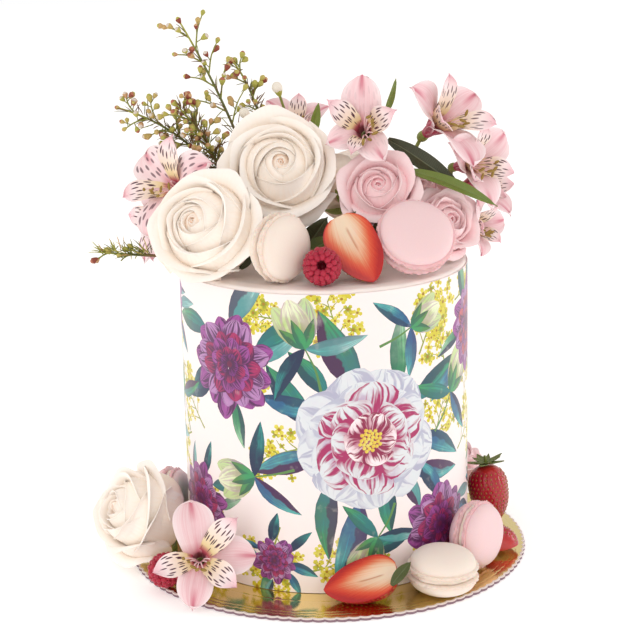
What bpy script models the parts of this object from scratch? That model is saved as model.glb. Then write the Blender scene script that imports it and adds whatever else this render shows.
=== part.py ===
"""A tall round wedding cake in a printed icing sheet, on a gold foil board, dressed with
roses, Peruvian lilies, waxflower, macarons and berries. Metres, +Z up, board on the ground,
cake axis through the origin, front of the cake towards -Y."""

import math
import random

import bmesh
import bpy
import numpy as np
from mathutils import Matrix, Vector

MM = 0.001
GAP = 0.3 * MM

# Driving sizes
BOARD_RADIUS = 127.0 * MM
BOARD_THICK = 2.4 * MM
SCALLOPS = 112
SCALLOP_DEPTH = 1.3 * MM
CAKE_RADIUS = 89.0 * MM
CAKE_TOP = 190.8 * MM
CAKE_EDGE_ROUND = 2.2 * MM
SHEET_THICK = 0.7 * MM
SHEET_TOP = 188.4 * MM
SHELL_FOOT = 2.4 * MM
FILLING = 3.2 * MM
WHOLE_RADIUS = 13.2 * MM
WHOLE_LENGTH = 41.0 * MM
PETAL_THICK = 1.4 * MM
HIP_DEPTH = 7.5 * MM
ROSE_STEM = 1.9 * MM
LILY_STEM = 1.2 * MM
STAMEN = 0.7 * MM
ANTHER = 1.3 * MM
LEAF_THICK = 0.9 * MM
TWIG_RADIUS = 0.7 * MM
TWIG_BUD = 1.9 * MM
STALK_RADIUS = 0.9 * MM
SMALL_ROSE = 25.0
STEM_SIDES = 4
ROUND_SIDES = 56

COLOURS = {
    "gold_foil": ((0.83, 0.62, 0.24), 0.12, 1.0),
    "buttercream": ((0.93, 0.86, 0.78), 0.6, 0.0),
    "icing_sheet": ((0.92, 0.88, 0.84), 0.4, 0.0),
    "cream_petal": ((0.95, 0.88, 0.76), 0.6, 0.0),
    "pink_petal": ((0.90, 0.62, 0.65), 0.6, 0.0),
    "lily_petal": ((0.88, 0.55, 0.60), 0.55, 0.0),
    "leaf": ((0.20, 0.26, 0.08), 0.5, 0.0),
    "waxflower": ((0.42, 0.42, 0.16), 0.6, 0.0),
    "cream_shell": ((0.92, 0.84, 0.72), 0.7, 0.0),
    "pink_shell": ((0.90, 0.62, 0.63), 0.7, 0.0),
    "filling": ((0.94, 0.88, 0.80), 0.5, 0.0),
    "strawberry": ((0.66, 0.06, 0.05), 0.35, 0.0),
    "raspberry": ((0.60, 0.04, 0.10), 0.45, 0.0),
}

# Roses: finish, place of the receptacle's top, facing, roll in degrees, radius, depth, foot of the stem or None
ROSES = {
    "rose_cream_left": ("cream_petal", (-64, -33, 211.5), (-0.30, -0.72, 0.42), 20, 35.5, 34, None),
    "rose_cream_centre": ("cream_petal", (-24.6, 8, 240), (-0.03, -0.86, 0.42), 0, 38, 37, (-17, 22, CAKE_TOP)),
    "rose_cream_rear": ("cream_petal", (20, 38, 214), (0.15, 0.70, 0.62), 40, 31, 32, (19, 34, CAKE_TOP)),
    "rose_cream_base": ("cream_petal", (-102.6, -22.5, 25.5), (-0.70, -0.50, 0.40), 10, 32.5, 44,
                        (-99, -15, BOARD_THICK)),
    "rose_pink_front": ("pink_petal", (36, -9, 227), (-0.12, -0.74, 0.58), 35, 24, 24, (31, 2, CAKE_TOP)),
    "rose_pink_right": ("pink_petal", (69, -8, 209), (0.38, -0.62, 0.30), 65, 21, 22, None),
    "rose_pink_inner": ("pink_petal", (62, 26, 218), (0.10, -0.50, 0.80), 80, 15, 18, (58, 28, CAKE_TOP)),
    "rose_pink_rear": ("pink_petal", (-38, 52, 206), (-0.35, 0.70, 0.62), 15, 21, 23, None),
    "rose_pink_base": ("pink_petal", (91, 62, 20), (-0.10, -0.20, 1.0), 15, 15, 22, (92, 64, BOARD_THICK)),
}

# Lilies: place of the throat, facing, roll in degrees, tepal length, opening in degrees, foot of the stem or None
LILIES = {
    "lily_centre": ((25.5, -12, 271), (-0.16, -0.92, 0.34), 90, 31.5, 56, (20, 16, CAKE_TOP)),
    "lily_right_high": ((73, 1, 273), (0.66, -0.34, 0.66), 20, 29, 48, (42, 13, CAKE_TOP)),
    "lily_right": ((92, 2, 247), (0.74, -0.62, 0.16), 10, 20, 56, (80, 12, CAKE_TOP)),
    "lily_right_low": ((97, 27, 228), (0.86, -0.12, 0.10), 40, 24, 36, (70, 30, CAKE_TOP)),
    "lily_right_edge": ((94, 8, 207), (0.72, -0.52, 0.08), 0, 19, 46, None),
    "lily_left_high": ((-92, 2, 236), (-0.70, -0.50, 0.50), 30, 28, 66, (-64, 18, CAKE_TOP)),
    "lily_left_low": ((-97, 24, 210), (-0.92, -0.30, 0.10), 0, 27, 60, (-70, 30, CAKE_TOP)),
    "lily_back": ((-16, 50, 263), (0.05, -0.20, 0.95), 10, 20, 40, (-12, 46, CAKE_TOP)),
    "lily_base": ((-78, -92, 28), (0.02, -0.84, 0.52), 0, 31, 74, None),
}

# Where a lily's tepals point, in degrees, and their share of its length, broad and narrow turn about
EVEN_SPREAD = tuple((60 * k, 1.0) for k in range(6))
SPREADS = {
    "lily_centre": ((0, 1.0), (52, 1.0), (115, 0.70), (165, 0.72), (218, 0.76), (292, 1.0)),
    "lily_base": ((0, 1.0), (36, 0.95), (95, 1.05), (203, 0.95), (265, 0.86), (324, 0.95)),
}

# Macarons: finish, centre, axis, radius, height of a dome
MACARONS = {
    "macaron_cream_top": ("cream_shell", (-25.3, -66.5, 211.8), (0.74, -0.66, 0.06), 20.6, 7.8),
    "macaron_pink_top": ("pink_shell", (55, -54, 213.8), (0.10, -0.74, 0.66), 23.4, 7.0),
    "macaron_cream_base": ("cream_shell", (68, -90, 16.6), (0.03, -0.03, 1.0), 21.8, 9.6),
    "macaron_pink_base": ("pink_shell", (91.5, -53.6, 24.4), (0.80, -0.58, 0.08), 21.0, 8.6),
    "macaron_pink_left": ("pink_shell", (-103.5, 26, 23.2), (0.97, -0.24, 0.0), 20.4, 7.6),
}


def material(name):
    """The named finish as a Principled BSDF."""
    found = bpy.data.materials.get(name)
    if found:
        return found
    colour, roughness, metallic = COLOURS[name]
    made = bpy.data.materials.new(name)
    made.use_nodes = True
    shader = made.node_tree.nodes["Principled BSDF"]
    shader.inputs["Base Color"].default_value = (*colour, 1.0)
    shader.inputs["Roughness"].default_value = roughness
    shader.inputs["Metallic"].default_value = metallic
    return made


def mesh_from(name, points, faces):
    """A mesh of points and faces, with its normals pointing out."""
    mesh = bpy.data.meshes.new(name)
    mesh.from_pydata([tuple(map(float, p)) for p in points], [], [tuple(map(int, f)) for f in faces])
    shape = bmesh.new()
    shape.from_mesh(mesh)
    bmesh.ops.recalc_face_normals(shape, faces=shape.faces)
    shape.to_mesh(mesh)
    shape.free()
    return mesh


def turn_to(location, facing, roll=0.0):
    """The matrix that takes local +Z to facing and local +Y as near to up as it goes, then rolls."""
    z = Vector(facing).normalized()
    up = Vector((0, 0, 1)) if abs(z.z) < 0.97 else Vector((0, 1, 0))
    x = up.cross(z).normalized()
    y = z.cross(x)
    turned = Matrix((x, y, z)).transposed().to_4x4() @ Matrix.Rotation(math.radians(roll), 4, "Z")
    return Matrix.Translation(Vector(location)) @ turned


def add(name, mesh, finish, matrix=None):
    """A named sub-part, set in place."""
    made = bpy.data.objects.new(name, mesh)
    mesh.materials.clear()
    mesh.materials.append(material(finish))
    mesh.shade_smooth()
    mesh.set_sharp_from_angle(angle=math.radians(38))
    bpy.context.scene.collection.objects.link(made)
    if matrix is not None:
        made.matrix_world = matrix
    return made


def islands_of(shape):
    """The connected sets of faces of a bmesh."""
    seen = set()
    for face in shape.faces:
        if face in seen:
            continue
        island, stack = [], [face]
        seen.add(face)
        while stack:
            current = stack.pop()
            island.append(current)
            for edge in current.edges:
                for other in edge.link_faces:
                    if other not in seen:
                        seen.add(other)
                        stack.append(other)
        yield island


def keep_main_body(mesh):
    """Drops scraps and the walls of sealed hollows, which a union can leave."""
    shape = bmesh.new()
    shape.from_mesh(mesh)
    bmesh.ops.triangulate(shape, faces=shape.faces)
    islands = sorted(islands_of(shape), key=lambda faces: -sum(f.calc_area() for f in faces))
    doomed = [face for island in islands[1:] for face in island]
    bmesh.ops.delete(shape, geom=doomed, context="FACES")
    shape.to_mesh(mesh)
    shape.free()


def fused(name, pieces, finish, matrix=None):
    """Closed meshes that overlap, joined into one solid."""
    base = add(name, pieces[0], finish)
    gathered = bpy.data.collections.new(name + "_pieces")
    bpy.context.scene.collection.children.link(gathered)
    for number, mesh in enumerate(pieces[1:]):
        gathered.objects.link(bpy.data.objects.new(f"{name}_{number}", mesh))
    union = base.modifiers.new("union", "BOOLEAN")
    union.operation = "UNION"
    union.solver = "MANIFOLD"
    union.operand_type = "COLLECTION"
    union.collection = gathered
    bpy.context.view_layer.update()
    graph = bpy.context.evaluated_depsgraph_get()
    mesh = bpy.data.meshes.new_from_object(base.evaluated_get(graph))
    for helper in list(gathered.objects):
        bpy.data.objects.remove(helper)
    bpy.data.collections.remove(gathered)
    bpy.data.objects.remove(base)
    keep_main_body(mesh)
    mesh.name = name
    return add(name, mesh, finish, matrix)


def ring_faces(rows, sides):
    """The faces of a closed shape made of a first point, rows of rings and a last point."""
    last = 1 + rows * sides
    faces = []
    for side in range(sides):
        after = (side + 1) % sides
        faces.append((0, 1 + side, 1 + after))
        for row in range(rows - 1):
            a, b = 1 + row * sides, 1 + (row + 1) * sides
            faces += [(a + side, b + side, b + after), (a + side, b + after, a + after)]
        end = 1 + (rows - 1) * sides
        faces.append((end + side, last, end + after))
    return faces


def lathe(name, profile, sides, bump=0.0):
    """A closed solid turned round Z from (radius, height) pairs that start and end on the axis.

    With a bump, every second point of a ring is out and the others in, turn about from ring to ring."""
    points = [(0, 0, profile[0][1])]
    rings = profile[1:-1]
    for row, (radius, height) in enumerate(rings):
        for side in range(sides):
            angle = math.tau * side / sides
            r = radius * (1 + bump * (-1) ** (side + row))
            points.append((r * math.cos(angle), r * math.sin(angle), height))
    points.append((0, 0, profile[-1][1]))
    return mesh_from(name, points, ring_faces(len(rings), sides))


def thin_solid(name, grid, thick):
    """A closed thin sheet from a grid of points (rows, columns, 3), both faces split alike."""
    grid = np.asarray(grid, float)
    rows, columns = grid.shape[:2]
    along = np.gradient(grid, axis=0)
    across = np.gradient(grid, axis=1)
    normal = np.cross(along, across)
    normal /= np.linalg.norm(normal, axis=2, keepdims=True) + 1e-12
    points = np.concatenate([(grid + normal * thick / 2).reshape(-1, 3), (grid - normal * thick / 2).reshape(-1, 3)])
    count = rows * columns
    faces = []
    for row in range(rows - 1):
        for column in range(columns - 1):
            a = row * columns + column
            b, c, d = a + 1, a + columns + 1, a + columns
            faces += [(a, b, c), (a, c, d), (count + a, count + c, count + b), (count + a, count + d, count + c)]
    rim = [(0, c) for c in range(columns)] + [(r, columns - 1) for r in range(1, rows)]
    rim += [(rows - 1, c) for c in range(columns - 2, -1, -1)] + [(r, 0) for r in range(rows - 2, 0, -1)]
    for (r0, c0), (r1, c1) in zip(rim, rim[1:] + rim[:1]):
        a, b = r0 * columns + c0, r1 * columns + c1
        faces += [(b, a, count + a), (b, count + a, count + b)]
    return mesh_from(name, points, faces)


def tube(name, route, radii, sides=STEM_SIDES):
    """A closed tube along a route of points, with a radius at each."""
    route = [Vector(p) for p in route]
    points, faces = [], []
    side_way = Vector((0.31, 0.83, 0.46)).normalized()
    for number, (place, radius) in enumerate(zip(route, radii)):
        before, after = route[max(number - 1, 0)], route[min(number + 1, len(route) - 1)]
        along = (after - before).normalized()
        x = (side_way - along * side_way.dot(along)).normalized()
        y = along.cross(x)
        for side in range(sides):
            angle = math.tau * side / sides
            points.append(place + (x * math.cos(angle) + y * math.sin(angle)) * radius)
    for row in range(len(route) - 1):
        a, b = row * sides, (row + 1) * sides
        for side in range(sides):
            after = (side + 1) % sides
            faces.append((a + side, a + after, b + after, b + side))
    faces.append(tuple(range(sides - 1, -1, -1)))
    last = (len(route) - 1) * sides
    faces.append(tuple(range(last, last + sides)))
    return mesh_from(name, points, faces)


def bezier(p0, p1, p2, p3, t):
    """A cubic curve's points at t, which may be an array."""
    t = np.asarray(t)[..., None]
    p0, p1, p2, p3 = (np.asarray(p, float) for p in (p0, p1, p2, p3))
    return (1 - t) ** 3 * p0 + 3 * (1 - t) ** 2 * t * p1 + 3 * (1 - t) * t**2 * p2 + t**3 * p3


def rose_mesh(radius, depth, whorls, sides):
    """One closed bloom standing on its local origin: ridges of petals round a heart, then the hip.

    Each whorl is (lip radius, lip height, petal count, phase), the first two as shares of the bloom's."""
    lip = PETAL_THICK / radius
    rings = []
    for number, (reach, height, count, phase) in enumerate(whorls):
        def ring(r, z, lobes, count=count, phase=phase):
            return r, z, lobes, count, phase
        rings.append(ring(reach - lip, height - 0.01, 1.0))
        rings.append(ring(reach, height - 0.03, 1.0))
        if number + 1 < len(whorls):
            after = whorls[number + 1]
            rings.append(ring(reach + 0.30 * (after[0] - reach), min(height, after[1]) - 0.20, 0.4))
    reach, height, count, phase = whorls[-1]
    rings.append((0.82 * reach, height - 0.26, 0.8, count, phase))
    rings.append((0.44 * reach, 0.04, 0.3, count, phase))
    points = [(0, 0, (whorls[0][1] - 0.12) * depth)]
    for r, z, lobes, count, phase in rings:
        for side in range(sides):
            angle = math.tau * side / sides
            lobe = abs(math.cos(count * (angle - phase) / 2))
            out = r * radius * (1 - 0.10 * lobes * (1 - lobe))
            up = (z - 0.10 * lobes * (1 - lobe)) * depth
            points.append((out * math.cos(angle), out * math.sin(angle), up))
    points.append((0, 0, -HIP_DEPTH))
    return mesh_from("bloom", points, ring_faces(len(rings), sides))


def stem_to(matrix, start_depth, foot, radius):
    """A stem in the flower's own frame, from its base down to just above what it stands on."""
    base = matrix @ Vector((0, 0, -start_depth))
    foot_place = Vector((foot[0] * MM, foot[1] * MM, foot[2] + GAP))
    middle = base.lerp(foot_place, 0.45)
    middle.xy = base.xy.lerp(foot_place.xy, 0.75)
    inverse = matrix.inverted()
    return tube("stem", [inverse @ base, inverse @ middle, inverse @ foot_place], [radius] * 3)


def make_roses():
    large = [(0.17, 1.0, 3, 0.3), (0.40, 0.98, 3, 1.4), (0.68, 0.86, 5, 0.6), (1.0, 0.62, 5, 1.2)]
    small = [(0.24, 1.0, 3, 0.3), (0.58, 0.95, 5, 1.4), (1.0, 0.74, 5, 0.6)]
    for name, (finish, place, facing, roll, radius, depth, foot) in ROSES.items():
        matrix = turn_to([c * MM for c in place], facing, roll)
        is_small = radius < SMALL_ROSE
        bloom = rose_mesh(radius * MM, depth * MM, small if is_small else large, 15 if is_small else 20)
        if foot:
            fused(name, [bloom, stem_to(matrix, HIP_DEPTH * 0.5, foot, ROSE_STEM)], finish, matrix)
        else:
            add(name, bloom, finish, matrix)


def lily_mesh(length, opening, spread):
    """A hollow tube that splits into three broad and three narrow tepals. The throat is the local origin."""
    thick = 0.9 * PETAL_THICK
    front, back = [], []

    def place(reach, height, azimuth, aside, slope):
        """One point of the front, and the one behind it."""
        behind = (math.sin(slope), -math.cos(slope))
        for sheet, shift in ((front, 0.0), (back, thick)):
            r, z = reach + behind[0] * shift, height + behind[1] * shift
            x = r * math.cos(azimuth) - aside * math.sin(azimuth)
            y = r * math.sin(azimuth) + aside * math.cos(azimuth)
            sheet.append((x, y, z))
        return len(front) - 1

    upright = math.radians(80)
    rings = []
    for reach, height in ((0.09, -0.42), (0.16, -0.02)):
        rings.append([place(reach * length, height * length, math.tau * k / 12, 0.0, upright) for k in range(12)])
    strips = []
    faces = []
    for number in range(6):
        columns = [(2 * number - 1) % 12, 2 * number, 2 * number + 1]
        azimuth, share = math.radians(spread[number][0]), spread[number][1]
        broad = number % 2 == 0
        tilt = math.radians(opening + (10 if broad else -12))
        size = length * share * (1.0 if broad else 0.93)
        rows = [[ring[c] for c in columns] for ring in rings]
        for t, width in ((0.46, 0.29 if broad else 0.19), (0.80, 0.25 if broad else 0.16)):
            reach = (0.13 + t * math.sin(tilt)) * size
            height = (t * math.cos(tilt) + 0.10 * math.sin(math.pi * t)) * size
            slope = math.radians(90) - tilt * 1.05
            row = []
            for side in (-1, 0, 1):
                lift = 0.07 * size * abs(side)
                row.append(place(reach, height + lift, azimuth, side * width * size, slope))
            rows.append(row)
        tip_reach, tip_height = (0.13 + math.sin(tilt)) * size, math.cos(tilt) * size
        tip = place(tip_reach, tip_height, azimuth, 0.0, math.radians(90) - tilt * 1.15)
        for low, high in zip(rows, rows[1:]):
            for c in (0, 1):
                faces += [(low[c], low[c + 1], high[c + 1]), (low[c], high[c + 1], high[c])]
        faces += [(rows[-1][0], rows[-1][1], tip), (rows[-1][1], rows[-1][2], tip)]
        strips.append([row[0] for row in rows[1:]] + [tip] + [row[2] for row in reversed(rows[1:])])
    count = len(front)
    closed = faces + [tuple(count + v for v in reversed(face)) for face in faces]
    for strip in strips:
        for a, b in zip(strip, strip[1:]):
            closed += [(a, b, count + b), (a, count + b, count + a)]
    points = front + back + [(0, 0, -0.46 * length), (0, 0, -0.66 * length)]
    for a, b in zip(rings[0], rings[0][1:] + rings[0][:1]):
        closed += [(a, b, 2 * count), (count + b, count + a, 2 * count + 1)]
    return mesh_from("lily", points, closed)


def lily_pieces(length, opening, spread):
    """The flower and its two bent stamens."""
    pieces = [lily_mesh(length, opening, spread)]
    for number in range(2):
        angle = math.radians(240 + 60 * number)
        bend = Vector((math.cos(angle), math.sin(angle), 0)) * length
        route = [bend * 0.02 + Vector((0, 0, -0.52 * length)), bend * 0.10 + Vector((0, 0, 0.16 * length)),
                 bend * 0.30 + Vector((0, 0, 0.38 * length))]
        pieces.append(tube("stamen", route, [STAMEN, STAMEN, ANTHER], 3))
    return pieces


def make_lilies():
    for name, (place, facing, roll, length, opening, foot) in LILIES.items():
        matrix = turn_to([c * MM for c in place], facing, roll)
        pieces = lily_pieces(length * MM, opening, SPREADS.get(name, EVEN_SPREAD))
        if foot:
            pieces.append(stem_to(matrix, 0.58 * length * MM, foot, LILY_STEM))
        fused(name, pieces, "lily_petal", matrix)


def make_board():
    """The foil board: a disc with a pinked edge."""
    corners = SCALLOPS * 2
    points, faces = [], []
    for height in (BOARD_THICK, 0.0):
        for corner in range(corners):
            angle = math.tau * corner / corners
            radius = BOARD_RADIUS - (corner % 2) * SCALLOP_DEPTH
            points.append((radius * math.cos(angle), radius * math.sin(angle), height))
    for corner in range(corners):
        after = (corner + 1) % corners
        faces.append((corner, corners + corner, corners + after, after))
    faces += [tuple(range(corners)), tuple(range(2 * corners - 1, corners - 1, -1))]
    add("board", mesh_from("board", points, faces), "gold_foil")


def make_cake():
    """The frosted cake and the thin icing sheet wrapped round it."""
    low, edge = BOARD_THICK + GAP, CAKE_EDGE_ROUND
    profile = [(0, CAKE_TOP), (CAKE_RADIUS - edge, CAKE_TOP)]
    profile += [(CAKE_RADIUS - 0.3 * edge, CAKE_TOP - 0.3 * edge), (CAKE_RADIUS, CAKE_TOP - edge)]
    profile += [(CAKE_RADIUS, low), (0, low)]
    add("cake", lathe("cake", profile, ROUND_SIDES), "buttercream")
    inside, outside = CAKE_RADIUS + GAP, CAKE_RADIUS + GAP + SHEET_THICK
    points, faces, sides = [], [], ROUND_SIDES
    section = [(inside, low), (outside, low), (outside, SHEET_TOP), (inside, SHEET_TOP)]
    for radius, height in section:
        for side in range(sides):
            angle = math.tau * side / sides
            points.append((radius * math.cos(angle), radius * math.sin(angle), height))
    for row in range(4):
        a, b = row * sides, (row + 1) % 4 * sides
        for side in range(sides):
            after = (side + 1) % sides
            faces.append((a + side, a + after, b + after, b + side))
    add("icing_sheet", mesh_from("icing_sheet", points, faces), "icing_sheet")


def make_macarons():
    """Two domed shells, each with its ruffled foot, and the filling between them."""
    for name, (finish, place, axis, radius, dome) in MACARONS.items():
        r, dome = radius * MM, dome * MM
        matrix = turn_to([c * MM for c in place], axis)
        half = FILLING / 2
        foot_top = half + GAP + SHELL_FOOT
        profile = [(0, foot_top + dome), (0.55 * r, foot_top + 0.86 * dome)]
        profile += [(0.88 * r, foot_top + 0.50 * dome), (0.985 * r, foot_top), (0.985 * r, half + GAP)]
        profile += [(0, half + GAP)]
        for part, turn in (("front", 0), ("back", 180)):
            flipped = matrix @ Matrix.Rotation(math.radians(turn), 4, "X")
            add(f"{name}_{part}", lathe(part, profile, 14), finish, flipped)
        middle = [(0, half), (0.86 * r, half), (0.90 * r, 0), (0.86 * r, -half), (0, -half)]
        add(f"{name}_filling", lathe("filling", middle, 12), "filling", matrix)


def strawberry_profile(radius, length, rings=6):
    """(radius, height) from the shoulders at the top down to the tip, tip at the local origin."""
    found = [(0, length)]
    for ring in range(rings):
        t = (ring + 0.35) / rings
        shoulder = math.sqrt(max(0.0, 1 - ((0.32 - t) / 0.33) ** 2)) if t < 0.32 else 1.0
        taper = math.cos(math.pi / 2 * max(0.0, (t - 0.32) / 0.68) ** 1.35) ** 0.8 if t > 0.32 else 1.0
        found.append((radius * shoulder * taper, length * (1 - t)))
    return found + [(0, 0)]


def half_of(mesh):
    """The half of a mesh at -Y, closed with a flat cut face."""
    shape = bmesh.new()
    shape.from_mesh(mesh)
    everything = shape.verts[:] + shape.edges[:] + shape.faces[:]
    bmesh.ops.bisect_plane(shape, geom=everything, plane_co=(0, 0, 0), plane_no=(0, -1, 0), clear_inner=True)
    bmesh.ops.holes_fill(shape, edges=[e for e in shape.edges if e.is_boundary])
    bmesh.ops.recalc_face_normals(shape, faces=shape.faces)
    shape.to_mesh(mesh)
    shape.free()
    return mesh


def aim(place, along, face):
    """The matrix that takes local +Z to along and local +Y as near to face as it goes."""
    z = Vector(along).normalized()
    y = Vector(face)
    y = (y - z * y.dot(z)).normalized()
    turned = Matrix((y.cross(z), y, z)).transposed().to_4x4()
    return Matrix.Translation(Vector([c * MM for c in place])) @ turned


def make_strawberries():
    """Three halves and a whole one. A half's cut face is its local +Y side."""
    halves = {
        "strawberry_half_top": ((29.4, -77, 192.4), (-0.40, 0.44, 0.72), (-0.05, -0.80, 0.60), 15.4, 46),
        "strawberry_half_base": ((-4, -102, 10.2), (0.96, -0.05, 0.27), (-0.20, -0.62, 0.76), 14.4, 46),
        "strawberry_half_right": ((102, -7, 4.4), (0.26, -0.95, 0.06), (0.10, -0.14, -1.0), 13.4, 30),
    }
    for name, (tip, along, face, radius, length) in halves.items():
        body = lathe("berry", strawberry_profile(radius * MM, length * MM), 12)
        add(name, half_of(body), "strawberry", aim(tip, along, face))
    body = lathe("berry", strawberry_profile(WHOLE_RADIUS, WHOLE_LENGTH), 14)
    matrix = aim((109, 18, 3.2), (-0.12, 0.04, 1), (0, -1, 0))
    add("strawberry_whole", body, "strawberry", matrix)
    add("strawberry_calyx", calyx_mesh(), "leaf", matrix @ Matrix.Translation((0, 0, WHOLE_LENGTH + GAP)))


def calyx_mesh():
    """A five-leaved star, closed, rising to a short stalk."""
    rows = [(1.1, 1.1, 6.0, 6.0), (1.5, 1.5, 1.2, 1.2), (6.5, 4.0, 2.4, 1.2), (14.0, 4.6, 3.0, 0.6)]
    rows += [(6.5, 3.9, 1.2, 0.2), (2.0, 2.0, 0.1, 0.1)]
    points = [(0, 0, 6.4 * MM)]
    for tip_reach, notch_reach, tip_height, notch_height in rows:
        for corner in range(10):
            angle = math.tau * corner / 10
            reach, height = (tip_reach, tip_height) if corner % 2 == 0 else (notch_reach, notch_height)
            points.append((reach * MM * math.cos(angle), reach * MM * math.sin(angle), height * MM))
    points.append((0, 0, 0.1 * MM))
    return mesh_from("calyx", points, ring_faces(len(rows), 10))


def leaf_grid(length, width, arch, rows=5, columns=3):
    """A lance-shaped leaf along +X, arched up in its middle, folded a little along its midrib."""
    t, u = np.meshgrid(np.linspace(0, 1, rows), np.linspace(-1, 1, columns), indexing="ij")
    half = width / 2 * (0.10 + 0.90 * np.sin(math.pi * np.clip(t * 0.97 + 0.02, 0, 1) ** 0.85) ** 0.9)
    rise = arch * length * 4 * t * (1 - t) * 0.5 + 0.25 * half * np.abs(u) + 0.03 * width * np.sin(9 * t + 2 * u)
    return np.stack([t * length, u * half, rise], axis=-1)


def make_leaves():
    """Single leaves: start, end, the way the face looks, width, arch."""
    leaves = {
        "leaf_dark": ((41, -3, 264), (87, -17, 233), (-0.2, -0.8, 0.7), 12, 0.10),
        "leaf_bright": ((52, -16, 247), (106, -29, 226), (0.1, -0.7, 0.8), 9, 0.12),
        "leaf_tip": ((40, 16, 276), (47, 14, 299), (0.6, -0.7, 0.2), 5, 0.06),
        "leaf_back": ((-5, 28, 262), (-1, 28, 283), (0.1, -0.9, 0.2), 6, 0.04),
        "leaf_front": ((-16, -30, 196), (8, -46, 212), (0.2, -0.7, 0.7), 12, 0.10),
        "leaf_board": ((36, -116, 18), (48, -105, 28), (0.1, -0.6, 0.8), 7, 0.10),
    }
    for name, (start, end, face, width, arch) in leaves.items():
        start, end = Vector(start) * MM, Vector(end) * MM
        x = (end - start).normalized()
        z = Vector(face)
        z = (z - x * z.dot(x)).normalized()
        turned = Matrix((x, z.cross(x), z)).transposed().to_4x4()
        grid = leaf_grid((end - start).length, width * MM, arch)
        add(name, thin_solid(name, grid, LEAF_THICK), "leaf", Matrix.Translation(start) @ turned)


def make_raspberries():
    """Hollow thimbles of bumps, the mouth looking along local +Z."""
    berries = {
        "raspberry_top": ((-0.9, -77, 202.3), (-0.05, -0.93, 0.30), 11.1),
        "raspberry_base": ((-100, -75, 13.4), (-0.4, -0.5, 0.7), 10.4),
    }
    for name, (place, facing, radius) in berries.items():
        profile = [(0, -0.98), (0.36, -0.90), (0.66, -0.68), (0.86, -0.36), (0.95, 0.0), (0.93, 0.36), (0.80, 0.68)]
        profile += [(0.50, 0.76), (0.34, 0.58), (0.28, 0.0), (0, -0.1)]
        thimble = lathe(name, [(r * radius * MM, z * radius * MM) for r, z in profile], 14, bump=0.07)
        add(name, thimble, "raspberry", turn_to([c * MM for c in place], facing))


def twig_with_bud(start, middle, end, size):
    """A thin twig that swells into a small top-shaped bud at its end."""
    way = (end - middle).normalized() * size
    route = [start, middle, end, end + way * 1.2, end + way * 2.0]
    return tube("twig", route, [TWIG_RADIUS, TWIG_RADIUS, TWIG_RADIUS, size, 0.7 * size], 3)


def make_sprigs():
    """Waxflower: a woody stem with side twigs, each ending in a bud. Routes are in millimetres."""
    sprigs = {
        "sprig_tall": ([(-30, 24, 191.9), (-42, 26, 240), (-60, 22, 290), (-85, 20, 335)], 8, 24, 5),
        "sprig_right": ([(-26, 32, 191.9), (-30, 34, 240), (-36, 36, 285), (-54, 34, 309)], 5, 13, 8),
        "sprig_left": ([(-44, 22, 191.9), (-58, 26, 236), (-80, 24, 268), (-124, 14, 284)], 7, 17, 2),
        "sprig_mid": ([(-50, 16, 191.9), (-56, 14, 232), (-66, 12, 262), (-88, 6, 286)], 7, 15, 11),
        "sprig_low": ([(-84, -2, 192.8), (-98, -6, 194.2), (-118, -9, 196), (-139, -10, 198.6)], 4, 9, 4),
    }
    for name, (route, twigs, twig_length, seed) in sprigs.items():
        draw = random.Random(seed)
        route = [Vector(p) * MM for p in route]
        curve = [Vector(bezier(*route, t)) for t in np.linspace(0, 1, 6)]
        pieces = [tube("stem", curve, list(np.linspace(1.3 * MM, 1.0 * MM, 5)) + [1.7 * MM], 4)]
        for number in range(twigs):
            t = 0.52 + 0.44 * (number + 0.5) / twigs
            start = Vector(bezier(*route, t))
            along = (Vector(bezier(*route, t + 0.02)) - start).normalized()
            side = along.cross(Vector((0.2, -1, 0.1))).normalized() * (-1) ** number
            spread = draw.uniform(0.7, 1.1)
            way = (along + side * spread + Vector((0, draw.uniform(-0.35, 0.35), 0))).normalized()
            end = start + way * twig_length * MM * draw.uniform(0.65, 1.0)
            middle = start.lerp(end, 0.5) + along * 0.08 * twig_length * MM
            pieces.append(twig_with_bud(start - way * 0.3 * MM, middle, end, TWIG_BUD))
        fused(name, pieces, "waxflower")


def make_buds():
    """A closed lily bud and two white waxflower buds on short stalks."""
    buds = {
        "bud_lily": ("lily_petal", (64, 6, 246), (74, 2, 236), 4.4),
        "bud_wax_high": ("waxflower", (-17, 25, 262), (-26, 22, 292), 3.6),
        "bud_wax_low": ("waxflower", (-34, 20, 262), (-46, 15, 278), 3.4),
    }
    for name, (finish, start, end, size) in buds.items():
        start, end = Vector(start) * MM, Vector(end) * MM
        way = (end - start).normalized()
        stalk = tube("stalk", [start, end], [STALK_RADIUS, STALK_RADIUS], 5)
        profile = [(0, -1.0), (0.5, -0.8), (1.0, 0.4), (0.8, 1.5), (0, 2.2)]
        head = lathe("head", [(r * size * MM, z * size * MM) for r, z in profile][::-1], 6)
        head.transform(turn_to(end, way))
        fused(name, [head, stalk], finish)


def main():
    for old in list(bpy.data.objects):
        bpy.data.objects.remove(old)
    make_board()
    make_cake()
    make_macarons()
    make_strawberries()
    make_raspberries()
    make_roses()
    make_lilies()
    make_leaves()
    make_sprigs()
    make_buds()


main()
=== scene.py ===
"""Looks for a tall round wedding cake: printed icing, foil board, flowers, macarons, berries.

Metres, +Z up, front of the cake towards -Y, its axis through the origin."""

import math
import random
from collections import namedtuple
from functools import partial

import bmesh
import bpy
import numpy as np
from bpy.props import FloatProperty, FloatVectorProperty, IntProperty, PointerProperty
from mathutils import Matrix, Vector, noise
from mathutils.geometry import delaunay_2d_cdt


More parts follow.
